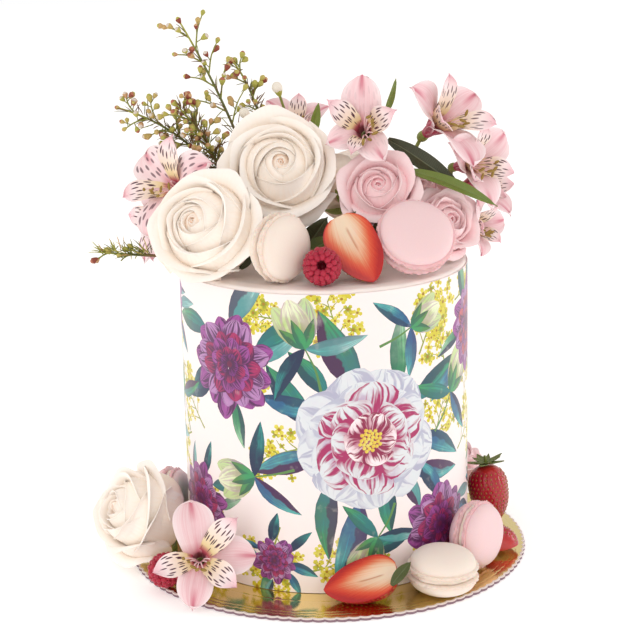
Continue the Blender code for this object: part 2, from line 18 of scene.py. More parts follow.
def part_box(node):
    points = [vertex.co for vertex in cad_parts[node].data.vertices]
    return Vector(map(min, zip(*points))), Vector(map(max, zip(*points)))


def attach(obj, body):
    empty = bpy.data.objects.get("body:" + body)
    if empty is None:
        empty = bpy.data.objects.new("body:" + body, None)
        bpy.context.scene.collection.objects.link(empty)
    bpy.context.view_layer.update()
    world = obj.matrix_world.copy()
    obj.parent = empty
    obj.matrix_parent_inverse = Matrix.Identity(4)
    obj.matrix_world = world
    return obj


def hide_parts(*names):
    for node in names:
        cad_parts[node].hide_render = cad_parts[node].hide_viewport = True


bl_info = {
    "name": "Dressed Wedding Cake",
    "version": (1, 0, 0),
    "blender": (4, 5, 0),
    "location": "3D View > Sidebar > Cake",
    "description": "Makes the printed icing, foil board, flowers, macarons and berries of a tall round cake",
    "category": "Add Mesh",
}

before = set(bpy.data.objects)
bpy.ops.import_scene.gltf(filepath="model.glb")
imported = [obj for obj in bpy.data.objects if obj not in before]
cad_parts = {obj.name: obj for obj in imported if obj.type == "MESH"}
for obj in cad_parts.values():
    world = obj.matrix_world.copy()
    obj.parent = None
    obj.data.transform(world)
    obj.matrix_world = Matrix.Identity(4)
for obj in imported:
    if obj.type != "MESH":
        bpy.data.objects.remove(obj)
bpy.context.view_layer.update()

MM = 0.001
SHEET_LOW, SHEET_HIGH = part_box("icing_sheet")
CAKE_LOW, CAKE_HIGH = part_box("cake")
BOARD_LOW, BOARD_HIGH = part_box("board")
SHEET_RADIUS = SHEET_HIGH.x
CAKE_TOP = CAKE_HIGH.z
BOARD_TOP = BOARD_HIGH.z
GAP = 0.3 * MM

# The camera stands where the cake was photographed from
CAMERA_TARGET = Vector((-0.0028, 0.0, 0.1496))
CAMERA_DISTANCE = 1.1618
CAMERA_ELEVATION = 0.25963
CAMERA_ROLL = -0.020234
CAMERA_LENS = 103.64
CAMERA_SENSOR = 36.0

# Roses: finish, top of the hip, facing, roll in degrees, radius, depth, foot of the stem or None, in mm
ROSES = {
    "rose_cream_left": ("cream", (-64, -33, 211.5), (-0.30, -0.72, 0.42), 20, 35.5, 34, None),
    "rose_cream_centre": ("cream", (-24.6, 8, 239), (-0.03, -0.86, 0.42), 0, 36.8, 37, (-17, 22)),
    "rose_cream_rear": ("cream", (20, 38, 214), (0.15, 0.70, 0.62), 40, 31, 32, (19, 34)),
    "rose_cream_base": ("cream", (-102.6, -22.5, 25.5), (-0.70, -0.50, 0.40), 10, 32.5, 44, (-99, -15)),
    "rose_pink_front": ("pink", (36, -9, 227), (-0.12, -0.74, 0.58), 35, 24, 24, (31, 2)),
    "rose_pink_right": ("pink", (69, -8, 209), (0.38, -0.62, 0.30), 65, 21, 22, None),
    "rose_pink_inner": ("pink", (62, 26, 218), (0.10, -0.50, 0.80), 80, 15, 18, (58, 28)),
    "rose_pink_rear": ("pink", (-38, 52, 206), (-0.35, 0.70, 0.62), 15, 21, 23, None),
    "rose_pink_base": ("pink", (91, 62, 20), (-0.10, -0.20, 1.0), 15, 15, 22, (92, 64)),
}
BASE_FLOWERS = ("rose_cream_base", "rose_pink_base")

# Lilies: throat, facing, roll, tepal length, opening, foot of the stem or None, share of dark streaks, in mm
# and degrees
LILIES = {
    "lily_centre": ((25.5, -12, 271), (-0.16, -0.92, 0.34), 90, 31.5, 56, (20, 16), 0.55),
    "lily_right_high": ((73, 1, 273), (0.56, -0.60, 0.56), 20, 33, 52, (42, 13), 0.25),
    "lily_right": ((92, 2, 247), (0.66, -0.70, 0.26), 30, 28.5, 56, (80, 12), 0.5),
    "lily_right_low": ((97, 27, 228), (0.80, -0.30, 0.20), 40, 27.5, 36, (70, 30), 0.3),
    "lily_right_edge": ((94, 8, 207), (0.72, -0.52, 0.08), 0, 21.5, 46, None, 0.5),
    "lily_left_high": ((-92, 2, 236), (-0.62, -0.62, 0.46), 30, 32.5, 70, (-64, 18), 0.9),
    "lily_left_low": ((-97, 24, 210), (-0.84, -0.50, 0.14), 0, 31, 64, (-70, 30), 0.9),
    "lily_back": ((-16, 50, 263), (0.10, -0.30, 0.94), 10, 25, 46, (-12, 46), 0.4),
    "lily_base": ((-78, -92, 28), (0.02, -0.84, 0.52), 0, 31, 74, None, 0.5),
}
# Where the tepals point, in degrees, and their share of the length, broad and narrow turn about
EVEN_SPREAD = tuple((60 * k, 1.0) for k in range(6))
SPREADS = {
    "lily_centre": ((0, 1.0), (52, 1.0), (115, 0.70), (165, 0.72), (218, 0.76), (292, 1.0)),
    "lily_base": ((0, 1.0), (42, 1.08), (98, 1.02), (200, 1.0), (262, 0.90), (318, 1.05)),
    "lily_right_high": ((0, 0.9), (60, 0.95), (120, 0.95), (180, 1.12), (240, 1.15), (300, 1.1)),
}

# Macarons: finish, centre, axis, radius, height of a dome, in mm
MACARONS = {
    "macaron_cream_top": ("cream", (-25.3, -66.5, 211.8), (0.74, -0.66, 0.06), 20.6, 7.8),
    "macaron_pink_top": ("pink", (55, -54, 213.8), (0.10, -0.74, 0.66), 23.4, 7.0),
    "macaron_cream_base": ("cream", (68, -90, 16.6), (0.03, -0.03, 1.0), 21.8, 9.6),
    "macaron_pink_base": ("pink", (91.5, -53.6, 24.4), (0.80, -0.58, 0.08), 21.0, 8.6),
    "macaron_pink_left": ("pink", (-103.5, 26, 23.2), (0.97, -0.24, 0.0), 20.4, 7.6),
}

# Halved strawberries: tip, way along, way the cut face looks, radius, length, in mm
HALVES = {
    "strawberry_half_top": ((29.4, -77, 192.4), (-0.40, 0.44, 0.72), (-0.05, -0.80, 0.60), 15.4, 46),
    "strawberry_half_base": ((-4, -102, 10.2), (0.96, -0.05, 0.27), (-0.20, -0.62, 0.76), 14.4, 46),
    "strawberry_half_right": ((102, -7, 4.4), (0.26, -0.95, 0.06), (0.10, -0.14, -1.0), 13.4, 30),
}
WHOLE_BERRY = ((109, 18, 3.2), (-0.12, 0.04, 1), (0, -1, 0), 13.2, 41)
RASPBERRIES = {
    "raspberry_top": ((-0.9, -77, 202.3), (-0.05, -0.93, 0.30), 11.1),
    "raspberry_base": ((-100, -75, 13.4), (-0.4, -0.5, 0.7), 10.4),
}

# Leaves: start, end, the way the face looks, width, arch, in mm, then how young and light it is
LEAVES = {
    "leaf_dark": ((41, -3, 264), (87, -17, 233), (-0.2, -0.8, 0.7), 12, 0.10, 0.0),
    "leaf_bright": ((52, -16, 247), (106, -29, 226), (0.1, -0.7, 0.8), 9, 0.12, 0.75),
    "leaf_tip": ((40, 16, 276), (47, 14, 299), (0.6, -0.7, 0.2), 5, 0.06, 0.9),
    "leaf_back": ((-5, 28, 262), (-1, 28, 283), (0.1, -0.9, 0.2), 6, 0.04, 1.0),
    "leaf_front": ((-16, -30, 196), (8, -46, 212), (0.2, -0.7, 0.7), 12, 0.10, 0.3),
    "leaf_board": ((36, -116, 18), (48, -105, 28), (0.1, -0.6, 0.8), 7, 0.10, 0.2),
}

# Dark leaves deep between the blooms, part of the front leaf's spray; their near-black colour is painted
# shade for the shadowed gaps between the blooms, where some real dark foliage also lies
SHADOW_GAP_LEAVES = (
    ((-14, -30, 197), (3, -40, 224), (0.1, -0.9, 0.4), 15, 0.08, 0.0),
    ((0, -34, 200), (20, -40, 227), (0.0, -0.9, 0.4), 14, 0.06, 0.1),
    ((28, -38, 204), (45, -38, 227), (-0.1, -0.9, 0.4), 12, 0.08, 0.0),
    ((-50, -42, 193.5), (-41, -40, 212), (0.2, -0.9, 0.3), 9, 0.08, 0.05),
)

# Waxflower: the stem's route, side twigs, their length, in mm, and the seed of the draw
SPRIGS = {
    "sprig_tall": ([(-30, 24, 191.9), (-42, 26, 240), (-60, 22, 290), (-85, 20, 335)], 8, 24, 5),
    "sprig_right": ([(-26, 32, 191.9), (-30, 34, 240), (-36, 36, 285), (-54, 34, 309)], 5, 13, 8),
    "sprig_left": ([(-44, 22, 191.9), (-58, 26, 236), (-80, 24, 268), (-124, 14, 284)], 7, 17, 2),
    "sprig_mid": ([(-50, 16, 191.9), (-56, 14, 232), (-66, 12, 262), (-88, 6, 286)], 7, 15, 11),
    "sprig_low": ([(-84, -2, 192.8), (-98, -6, 194.2), (-118, -9, 196), (-139, -10, 198.6)], 4, 9, 4),
}
BUDS = {
    "bud_lily": ((64, 6, 246), (74, 2, 236), 4.4),
    "bud_wax_high": ((-17, 25, 262), (-26, 22, 292), 3.6),
    "bud_wax_low": ((-34, 20, 262), (-46, 15, 278), 3.4),
}


def linear(code, alpha=1.0):
    """An sRGB hex colour as the linear colour that a shader takes."""
    shares = [int(code[i:i + 2], 16) / 255 for i in (1, 3, 5)]
    return tuple(c / 12.92 if c <= 0.04045 else ((c + 0.055) / 1.055) ** 2.4 for c in shares) + (alpha,)


def colour_property(name, description, code):
    """A colour that a user may change, given as sRGB hex."""
    return FloatVectorProperty(
        name=name, description=description, subtype="COLOR", size=4, min=0.0, max=1.0, default=linear(code)
    )


class CakeColours(bpy.types.PropertyGroup):
    """The colours that change from cake to cake."""

    cream: colour_property("Cream petals", "Outer petals of the cream roses", "#FFF7EE")
    cream_heart: colour_property("Cream heart", "Heart of the cream roses", "#FDD9BB")
    pink: colour_property("Pink petals", "Outer petals of the pink roses", "#FCDEE0")
    pink_heart: colour_property("Pink heart", "Heart of the pink roses", "#F596A4")
    lily: colour_property("Lily", "Body of the lilies' tepals", "#F3CCD0")
    lily_deep: colour_property("Lily midrib", "Flushed middle of the broad tepals", "#C9506E")
    cream_shell: colour_property("Cream macaron", "Shells of the cream macarons", "#F2E4D8")
    pink_shell: colour_property("Pink macaron", "Shells of the pink macarons", "#F0D0D2")
    frosting: colour_property("Frosting", "Frosting on top of the cake", "#F9ECE6")
    sheet: colour_property("Icing sheet", "Unprinted ground of the icing sheet", "#FAECEA")
    foil: colour_property("Foil", "Gold foil of the board", "#F8E29C")


class CakeSizes(bpy.types.PropertyGroup):
    """The sizes that change the look without moving a piece."""

    petal_thick: FloatProperty(
        name="Rose petal", description="Thickness of a rose petal", default=0.5 * MM, min=0.2 * MM,
        max=1.2 * MM, unit="LENGTH", precision=5)
    tepal_thick: FloatProperty(
        name="Lily tepal", description="Thickness of a lily tepal", default=0.45 * MM, min=0.2 * MM,
        max=1.0 * MM, unit="LENGTH", precision=5)
    frill: FloatProperty(
        name="Macaron frill", description="How far the ruffled foot of a shell stands in and out",
        default=0.75 * MM, min=0.0, max=1.5 * MM, unit="LENGTH", precision=5)
    seed_gap: FloatProperty(
        name="Seed spacing", description="Distance between the seeds of a strawberry", default=3.3 * MM,
        min=2.0 * MM, max=6.0 * MM, unit="LENGTH", precision=5)
    drupelet: FloatProperty(
        name="Drupelet", description="Radius of one bead of a raspberry", default=1.85 * MM, min=1.0 * MM,
        max=3.0 * MM, unit="LENGTH", precision=5)
    needles: IntProperty(
        name="Needles", description="Needle leaves on each waxflower stem", default=150, min=0, max=600)


def colours():
    return bpy.context.scene.cake_colours


def sizes():
    return bpy.context.scene.cake_sizes


# Meshes

def part(points, faces, **values):
    """Points, a list of (face corners, material number) and the values kept at the points."""
    return np.asarray(points, float).reshape(-1, 3), faces, values


def moved(parts, matrix):
    """The parts carried by a matrix."""
    turn = np.array(matrix)[:3, :3]
    shift = np.array(matrix.translation)
    return [(points @ turn.T + shift, faces, values) for points, faces, values in parts]


def sheet_part(grid, thick, number=0, **values):
    """A closed thin sheet from a grid of points (rows, columns, 3). Its values repeat on both faces."""
    rows, columns = grid.shape[:2]
    normal = np.cross(np.gradient(grid, axis=0), np.gradient(grid, axis=1))
    normal /= np.linalg.norm(normal, axis=2, keepdims=True) + 1e-12
    half = normal * (np.asarray(thick)[..., None] if np.ndim(thick) else thick) / 2
    count = rows * columns
    index = np.arange(count).reshape(rows, columns)
    a, b, c, d = index[:-1, :-1], index[:-1, 1:], index[1:, 1:], index[1:, :-1]
    front = np.stack([a, d, c, b], -1).reshape(-1, 4)
    back = np.stack([a, b, c, d], -1).reshape(-1, 4) + count
    rim = np.concatenate([index[0, :-1], index[:-1, -1], index[-1, :0:-1], index[:0:-1, 0]])
    after = np.roll(rim, -1)
    side = np.stack([rim, after, after + count, rim + count], -1)
    doubled = {key: np.concatenate([np.ravel(v)] * 2) if np.ndim(v) else np.full(2 * count, v)
               for key, v in values.items()}
    points = np.concatenate([(grid + half).reshape(-1, 3), (grid - half).reshape(-1, 3)])
    return part(points, [(np.concatenate([front, back, side]), number)], **doubled)


def ring_part(rings, number=0, low=None, high=None, **values):
    """A closed loft through rings of points (rows, sides, 3), its ends drawn to the points low and high."""
    rows, sides = rings.shape[:2]
    low = rings[0].mean(axis=0) if low is None else low
    high = rings[-1].mean(axis=0) if high is None else high
    index = np.arange(rows * sides).reshape(rows, sides)
    after = np.roll(index, -1, axis=1)
    wall = np.stack([index[:-1], after[:-1], after[1:], index[1:]], -1).reshape(-1, 4)
    first, last = rows * sides, rows * sides + 1
    ends = [np.stack([after[0], index[0], np.full(sides, first)], -1),
            np.stack([index[-1], after[-1], np.full(sides, last)], -1)]
    points = np.concatenate([rings.reshape(-1, 3), [low, high]])
    grown = {}
    for key, value in values.items():
        full = np.broadcast_to(value, (rows, sides))
        grown[key] = np.concatenate([full.ravel(), [full[0].mean(), full[-1].mean()]])
    return part(points, [(wall, number), (ends[0], number), (ends[1], number)], **grown)


def tube_part(route, radii, sides=8, number=0, **values):
    """A closed round tube along a route of points, with a radius at each."""
    route = np.asarray(route, float)
    radii = np.broadcast_to(np.asarray(radii, float), len(route))
    along = np.gradient(route, axis=0)
    along /= np.linalg.norm(along, axis=1, keepdims=True) + 1e-12
    aside = np.array((0.31, 0.83, 0.46))
    x = aside - along * (along @ aside)[:, None]
    x /= np.linalg.norm(x, axis=1, keepdims=True)
    y = np.cross(along, x)
    angle = math.tau * np.arange(sides) / sides
    ring = x[:, None] * np.cos(angle)[:, None] + y[:, None] * np.sin(angle)[:, None]
    rings = route[:, None] + ring * radii[:, None, None]
    values = {key: np.asarray(v)[:, None] if np.ndim(v) else v for key, v in values.items()}
    return ring_part(rings, number, route[0], route[-1], **values)


def lathe_part(profile, sides, number=0, swell=None, **values):
    """A closed solid turned round Z from (radius, height) pairs between its two ends on the axis."""
    profile = np.asarray(profile, float)
    angle = math.tau * np.arange(sides) / sides
    inner = profile[1:-1]
    r = np.broadcast_to(inner[:, :1], (len(inner), sides))
    z = np.broadcast_to(inner[:, 1:], (len(inner), sides))
    if swell is not None:
        r, z = swell(angle[None, :], r, z)
    rings = np.stack([r * np.cos(angle), r * np.sin(angle), z], -1)
    points, faces, told = ring_part(rings, number, (0, 0, profile[0][1]), (0, 0, profile[-1][1]), **values)
    # A profile that runs down is turned over, so that its faces look outwards
    if profile[0][1] > profile[-1][1]:
        faces = [(corners[:, ::-1], each) for corners, each in faces]
    return points, faces, told


def ball_part(centre, radii, matrix=None, level=2, number=0, **values):
    """A round bead, stretched by its three radii."""
    shape = bmesh.new()
    bmesh.ops.create_icosphere(shape, subdivisions=level, radius=1.0)
    points = np.array([v.co for v in shape.verts]) * np.asarray(radii)
    faces = np.array([[v.index for v in f.verts] for f in shape.faces])
    shape.free()
    if matrix is not None:
        points = points @ np.array(matrix.to_3x3()).T
    filled = {key: np.full(len(points), float(v)) for key, v in values.items()}
    return part(points + np.asarray(centre), [(faces, number)], **filled)


def span(rows, columns):
    """Places along (0 to 1) and across (-1 to 1) a petal or leaf."""
    return np.meshgrid(np.linspace(0, 1, rows), np.linspace(-1, 1, columns), indexing="ij")


def turned(reach, aside, rise, angle):
    """Points so far out, aside and up, turned round Z by an angle."""
    x = reach * np.cos(angle) - aside * np.sin(angle)
    return np.stack([x, reach * np.sin(angle) + aside * np.cos(angle), rise], -1)


def curve_points(controls, count):
    """Points along a smooth curve through a few controls."""
    controls = np.asarray(controls, float)
    ends = np.concatenate([[2 * controls[0] - controls[1]], controls, [2 * controls[-1] - controls[-2]]])
    place = np.linspace(0, len(controls) - 1.0001, count)
    i, t = place.astype(int), (place % 1)[:, None]
    p0, p1, p2, p3 = ends[i], ends[i + 1], ends[i + 2], ends[i + 3]
    square, cube = 2 * p0 - 5 * p1 + 4 * p2 - p3, 3 * p1 - p0 - 3 * p2 + p3
    return 0.5 * (2 * p1 + (p2 - p0) * t + square * t**2 + cube * t**3)


def bezier(p0, p1, p2, p3, t):
    """A cubic curve's points at t, which may be an array."""
    t = np.asarray(t)[..., None]
    p0, p1, p2, p3 = (np.asarray(p, float) for p in (p0, p1, p2, p3))
    return (1 - t) ** 3 * p0 + 3 * (1 - t) ** 2 * t * p1 + 3 * (1 - t) * t**2 * p2 + t**3 * p3


def piece(name, parts, materials, slot, *nodes, crease=40.0):
    """One dressed piece of many parts, which rides on the cake and stands for its nodes."""
    starts = np.cumsum([0] + [len(points) for points, _, _ in parts])
    corners, totals, numbers = [], [], []
    for (_, faces, _), start in zip(parts, starts):
        for array, number in faces:
            corners.append(array.ravel() + start)
            totals.append(np.full(len(array), array.shape[1]))
            numbers.append(np.full(len(array), number))
    corners, totals, numbers = (np.concatenate(a).astype(np.int32) for a in (corners, totals, numbers))
    points = np.concatenate([points for points, _, _ in parts]).astype(np.float32)
    mesh = bpy.data.meshes.new(name)
    mesh.vertices.add(len(points))
    mesh.vertices.foreach_set("co", points.ravel())
    mesh.loops.add(len(corners))
    mesh.loops.foreach_set("vertex_index", corners)
    mesh.polygons.add(len(totals))
    mesh.polygons.foreach_set("loop_start", (np.cumsum(totals) - totals).astype(np.int32))
    mesh.polygons.foreach_set("material_index", numbers)
    mesh.update(calc_edges=True)
    for key in {key for _, _, values in parts for key in values}:
        told = [values.get(key, np.zeros(len(points_))) for points_, _, values in parts]
        store = mesh.attributes.new(key, "FLOAT", "POINT")
        store.data.foreach_set("value", np.concatenate(told).astype(np.float32))
    for each in materials:
        mesh.materials.append(each)
    mesh.shade_smooth()
    mesh.set_sharp_from_angle(angle=math.radians(crease))
    return dressed(name, mesh, slot, *nodes)


def dressed(name, mesh, slot, *nodes):
    """Puts a mesh in the scene as a piece of the cake."""
    made = bpy.data.objects.new("dressed_" + name, mesh)
    bpy.context.scene.collection.objects.link(made)
    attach(made, "root")
    if nodes:
        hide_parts(*nodes)
    return made


def turn_to(place, facing, roll=0.0):
    """The matrix that sets a piece at a place in mm, its local +Z to facing, then rolled."""
    z = Vector(facing).normalized()
    up = Vector((0, 0, 1)) if abs(z.z) < 0.97 else Vector((0, 1, 0))
    x = up.cross(z).normalized()
    y = z.cross(x)
    turned = Matrix((x, y, z)).transposed().to_4x4() @ Matrix.Rotation(math.radians(roll), 4, "Z")
    return Matrix.Translation(Vector(place) * MM) @ turned


def aim(place, along, face):
    """The matrix that sets a piece at a place in mm, its local +Z to along and +Y close to face."""
    z = Vector(along).normalized()
    y = Vector(face)
    y = (y - z * y.dot(z)).normalized()
    return Matrix.Translation(Vector(place) * MM) @ Matrix((y.cross(z), y, z)).transposed().to_4x4()


def smooth(value, low, high):
    """A soft step from 0 at low to 1 at high."""
    t = np.clip((np.asarray(value, float) - low) / (high - low), 0, 1)
    return t * t * (3 - 2 * t)


# Materials

# Inputs that a node's values go to and the output that it is read from, where they aren't the first
INPUTS = {"Mix": (0, 6, 7), "Mapping": (0, 3, 2), "TexNoise": ("Scale", "Detail", "Vector", "Roughness"),
          "TexVoronoi": ("Scale", "Randomness", "Vector"), "Bump": ("Strength", "Distance", "Height")}
OUTPUTS = {"ShaderNodeMix": 2, "ShaderNodeAttribute": 2, "ShaderNodeTexCoord": 3}


def shown(value):
    """A hex code or a grey as a linear colour; any other colour as it is."""
    if isinstance(value, str):
        return linear(value)
    return (value, value, value, 1) if isinstance(value, (int, float)) else value


def source(value):
    """The socket that a node is read from; any other value as it is."""
    return value.outputs[OUTPUTS.get(value.bl_idname, 0)] if isinstance(value, bpy.types.Node) else value


def put(tree, kind, *values, stops=(), **settings):
    """Adds a node. Inputs take values, hex codes, nodes or sockets; stops are a ramp's places and colours."""
    made = tree.nodes.new("ShaderNode" + kind)
    if kind == "Mix":
        made.data_type = "RGBA"
    for key, value in settings.items():
        setattr(made, key, value)
    if stops:
        ramp = made.color_ramp.elements
        ramp.remove(ramp[1])
        ramp[0].position, ramp[0].color = stops[0][0], shown(stops[0][1])
        for place, colour in stops[1:]:
            ramp.new(place).color = shown(colour)
    for key, value in zip(INPUTS.get(kind, range(len(values))), map(source, values)):
        if isinstance(value, bpy.types.NodeSocket):
            tree.links.new(value, made.inputs[key])
        else:
            made.inputs[key].default_value = shown(value) if isinstance(value, str) else value
    return made


def finish(name, **sockets):
    """A new material and the call that adds its nodes. An underscore in a name stands for a space."""
    made = bpy.data.materials.new(name)
    made.use_nodes = True
    for key, value in sockets.items():
        made.node_tree.nodes["Principled BSDF"].inputs[key.replace("_", " ")].default_value = value
    return made, partial(put, made.node_tree)


def joined(made, **nodes):
    """The material, with nodes joined to its shader's sockets."""
    tree = made.node_tree
    for key, node in nodes.items():
        tree.links.new(source(node), tree.nodes["Principled BSDF"].inputs[key.replace("_", " ")])
    return made


def lighter(colour, share):
    """A linear colour moved towards white by a share."""
    return tuple(c + (1 - c) * share for c in colour[:3]) + (1.0,)


def darker(colour, share):
    """A linear colour moved towards black by a share."""
    return tuple(c * (1 - share) for c in colour[:3]) + (1.0,)


def rose_petal(name, outer, heart):
    """Rose petal, grown soft: matt and velvety, lets light a little way in, deepens towards the heart, with
    painted warm shade low on each petal.
    """
    made, add = finish(name, Roughness=0.58, IOR=1.40, Subsurface_Weight=0.10, Subsurface_Scale=0.0008,
                       Subsurface_Radius=(1.0, 0.80, 0.66), Sheen_Weight=0.05, Sheen_Roughness=0.4)
    along, across, depth = (add("Attribute", attribute_name=key) for key in ("along", "across", "depth"))
    body = add("ValToRGB", depth,
               stops=((0.0, outer), (0.45, lighter(outer, 0.12)), (0.8, heart), (1.0, darker(heart, 0.06))))
    # Each petal's lower part is mixed towards the heart colour: the rose's own peach base, and painted warm
    # shade where the petals lie deep in the bloom
    warm = add("Mix", add("MapRange", along, 0.0, 0.65, 0.55, 0.0), body, heart)
    # Veins fan up the petal about 1.5 mm apart, drawn a little coarser than real ones so that they show
    fan = add("Mapping", add("CombineXYZ", across, along), (14.0, 1.6, 1.0))
    veins = add("TexNoise", 1.6, 3.0, fan)
    veined = add("Mix", add("MapRange", veins, 0.3, 0.7, 0.0, 0.16), warm, heart)
    edged = add("Mix", add("MapRange", along, 0.74, 0.95, 0.0, 0.6), veined, lighter(outer, 0.30))
    return joined(made, Base_Color=edged, Normal=add("Bump", 0.25, 0.0004, veins))


def lily_tepal(name, body, deep):
    """Peruvian lily tepal: silky, thin. Broad ones flush along the middle, narrow ones are boldly dashed."""
    made, add = finish(name, Roughness=0.45, IOR=1.40, Subsurface_Weight=0.10, Subsurface_Scale=0.0008,
                       Subsurface_Radius=(1.0, 0.7, 0.66), Sheen_Weight=0.05)
    along, across, narrow, streaks, shade = (
        add("Attribute", attribute_name=key) for key in ("along", "across", "narrow", "streaks", "shade"))
    aside = add("Math", across, operation="ABSOLUTE")
    place = add("CombineXYZ", across, along, shade)
    silk = add("TexNoise", 1.5, 2.0, add("Mapping", place, (13.0, 1.2, 40.0)))
    own = add("Mix", add("MapRange", shade, 0.0, 1.0, 0.0, 0.64), body, deep)
    pale = add("Mix", silk, lighter(body, 0.45), own)
    edged = add("Mix", add("MapRange", aside, 0.50, 1.0, 0.0, 0.75), pale, lighter(body, 0.62))
    # The flush is a stripe along the midrib, strongest near the tip and in the throat
    middle = add("MapRange", aside, 0.02, 0.30, 0.85, 0.0, interpolation_type="SMOOTHSTEP")
    places = ((0.0, 1), (0.34, 0.5), (0.52, 0.08), (0.66, 0.10), (0.84, 0.75), (1.0, 1))
    reach = add("ValToRGB", along, stops=places)
    flushed = add("Mix", add("Math", middle, reach, operation="MULTIPLY"), edged, deep)
    inner = add("ValToRGB", along, stops=((0.0, "#A63550"), (0.30, "#CF6A78"), (0.40, "#F1DDA8"),
                                          (0.60, "#F8E3D2"), (0.80, "#F9E6E6"), (1.0, "#EDB9C4")))
    kind = add("Mix", narrow, flushed, inner)
    deeper = add("Mix", add("MapRange", along, 0.20, 0.40, 0.8, 0.0), kind, "#B23A56")
    # Dashes about 3 mm long and 1 mm wide, in rows that fan from the throat
    strokes = add("TexVoronoi", 1.0, 0.75, add("Mapping", place, (4.3, 4.4, 60.0)), voronoi_dimensions="2D")
    mark = add("MapRange", strokes, 0.20, 0.28, 1.0, 0.0)
    field = add("ValToRGB", along, stops=((0.30, 0), (0.40, 1), (0.84, 1), (0.93, 0)))
    share = add("Math", add("Math", mark, field, operation="MULTIPLY"), streaks, operation="MULTIPLY")
    dashed = add("Mix", share, deeper, "#4A1430")
    return joined(made, Base_Color=dashed, Normal=add("Bump", 0.2, 0.0003, silk))


def leaf_blade(name, dark, light):
    """Waxy leaf: a soft shine, a pale midrib and side veins, older blades darker; the gap leaves between the
    blooms take its darkest colour as painted shade.
    """
    made, add = finish(name, Roughness=0.42, IOR=1.45, Subsurface_Weight=0.08, Subsurface_Scale=0.002)
    along, across, young = (add("Attribute", attribute_name=key) for key in ("along", "across", "young"))
    aside = add("Math", across, operation="ABSOLUTE")
    slant = add("Math", along, aside, operation="SUBTRACT")
    wave = add("Math", add("Math", slant, 55.0, operation="MULTIPLY"), operation="SINE")
    vein = add("MapRange", wave, 0.4, 1.0, 0.0, 0.22)
    midrib = add("MapRange", aside, 0.03, 0.10, 0.28, 0.0)
    lines = add("Math", vein, midrib, operation="MAXIMUM")
    veined = add("Mix", lines, add("Mix", young, dark, light), lighter(light, 0.25))
    mottle = add("MapRange", add("TexNoise", 220.0, 3.0), 0.35, 0.7, 0.0, 0.35)
    return joined(made, Base_Color=add("Mix", mottle, veined, dark), Normal=add("Bump", 0.4, 0.0003, lines))


# Finishes of one grain: its scale and detail, its ramp, the bump's strength and depth, the shader's values
GRAINED = {
    # Fresh cut stem: smooth skin, green, browner in patches
    "green_stem": ((160.0, 3.0), ((0.3, "#5C6A2C"), (0.55, "#8A9A48"), (0.75, "#A9A260")), (0.2, 0.0003),
                   {"Roughness": 0.5, "IOR": 1.45}),
    # Anther with dry pollen: matt and powdery
    "pollen": ((900.0, 2.0), ((0.35, "#7A5A28"), (0.65, "#B59A50")), (0.5, 0.0002), {"Roughness": 0.9}),
    # Piped buttercream filling: smooth, satin, a little uneven
    "soft_filling": ((300.0, 3.0), ((0.3, "#E9D8C8"), (0.7, "#F8EDE2")), (0.4, 0.0004),
                     {"Roughness": 0.45, "IOR": 1.45, "Subsurface_Weight": 0.2, "Subsurface_Scale": 0.002}),
    # Strawberry seed: dry straw-coloured husk, browner on one side
    "seed_coat": ((500.0, 2.0), ((0.35, "#8A5420"), (0.65, "#BC8C3C")), None, {"Roughness": 0.45}),
    # Pressed grey board: matt, mauve brown, faintly flecked with fibre
    "grey_card": ((600.0, 4.0), ((0.35, "#7C5F6A"), (0.65, "#9A808A")), (0.3, 0.0002), {"Roughness": 0.85}),
    # The cut edge of the card under the foil: pale, matt, slightly furred
    "cut_card": ((500.0, 3.0), ((0.3, "#D8C8C2"), (0.7, "#F0E6E0")), (0.3, 0.0002), {"Roughness": 0.8}),
    # White acrylic of a shooting table, sanded matt and lit a little from below
    "studio_paper": ((40.0, 3.0), ((0.3, "#F7F6F5"), (0.7, "#FBFAF9")), None,
                     {"Roughness": 0.9, "Emission_Color": (1, 1, 1, 1), "Emission_Strength": 0.30}),
}


def grained(name):
    """A finish whose colour and relief follow one fine grain."""
    (scale, detail), stops, bump, sockets = GRAINED[name]
    made, add = finish(name, **sockets)
    grain = add("TexNoise", scale, detail)
    if bump:
        joined(made, Normal=add("Bump", *bump, grain))
    return joined(made, Base_Color=add("ValToRGB", grain, stops=stops))


def waxflower_skin():
    """Waxflower twig, needle and bud: woody brown stems, olive needles, buds from lime to maroon."""
    made, add = finish("waxflower_skin", Roughness=0.55, IOR=1.45)
    body = add("ValToRGB", add("Attribute", attribute_name="tone"), stops=(
        (0.0, "#6E4A30"), (0.12, "#7C5E36"), (0.2, "#59602A"), (0.34, "#6F7A34"), (0.42, "#A9AC4C"),
        (0.56, "#C6BE62"), (0.68, "#D2A878"), (0.82, "#B0604A"), (0.92, "#7A2A22"), (1.0, "#FBF4E6")))
    grain = add("TexNoise", 420.0, 3.0)
    worn = add("Mix", add("MapRange", grain, 0.4, 0.75, 0.0, 0.4), body, "#5A3E26")
    return joined(made, Base_Color=worn, Normal=add("Bump", 0.4, 0.0002, grain))


def almond_shell(name, body, foot_depth):
    """Baked almond meringue: eggshell dome with fine pits, rougher foot, deeper by the power foot_depth."""
    made, add = finish(name, Roughness=0.52, IOR=1.45, Subsurface_Weight=0.15, Subsurface_Scale=0.003)
    even = add("MapRange", add("TexNoise", 90.0, 4.0), 0.3, 0.75, 0.0, 0.28)
    dome = add("Mix", even, body, darker(body, 0.14))
    deep = (*(c**foot_depth for c in body[:3]), 1.0)
    frill = add("Mix", add("Attribute", attribute_name="foot"), dome, deep)
    # Pits of ground almond are 0.2 to 0.5 mm, drawn at about 0.8 mm so that they show
    pits = add("TexNoise", 1200.0, 4.0)
    pits.inputs["Roughness"].default_value = 0.65
    return joined(made, Base_Color=frill, Normal=add("Bump", 0.25, 0.0002, pits))


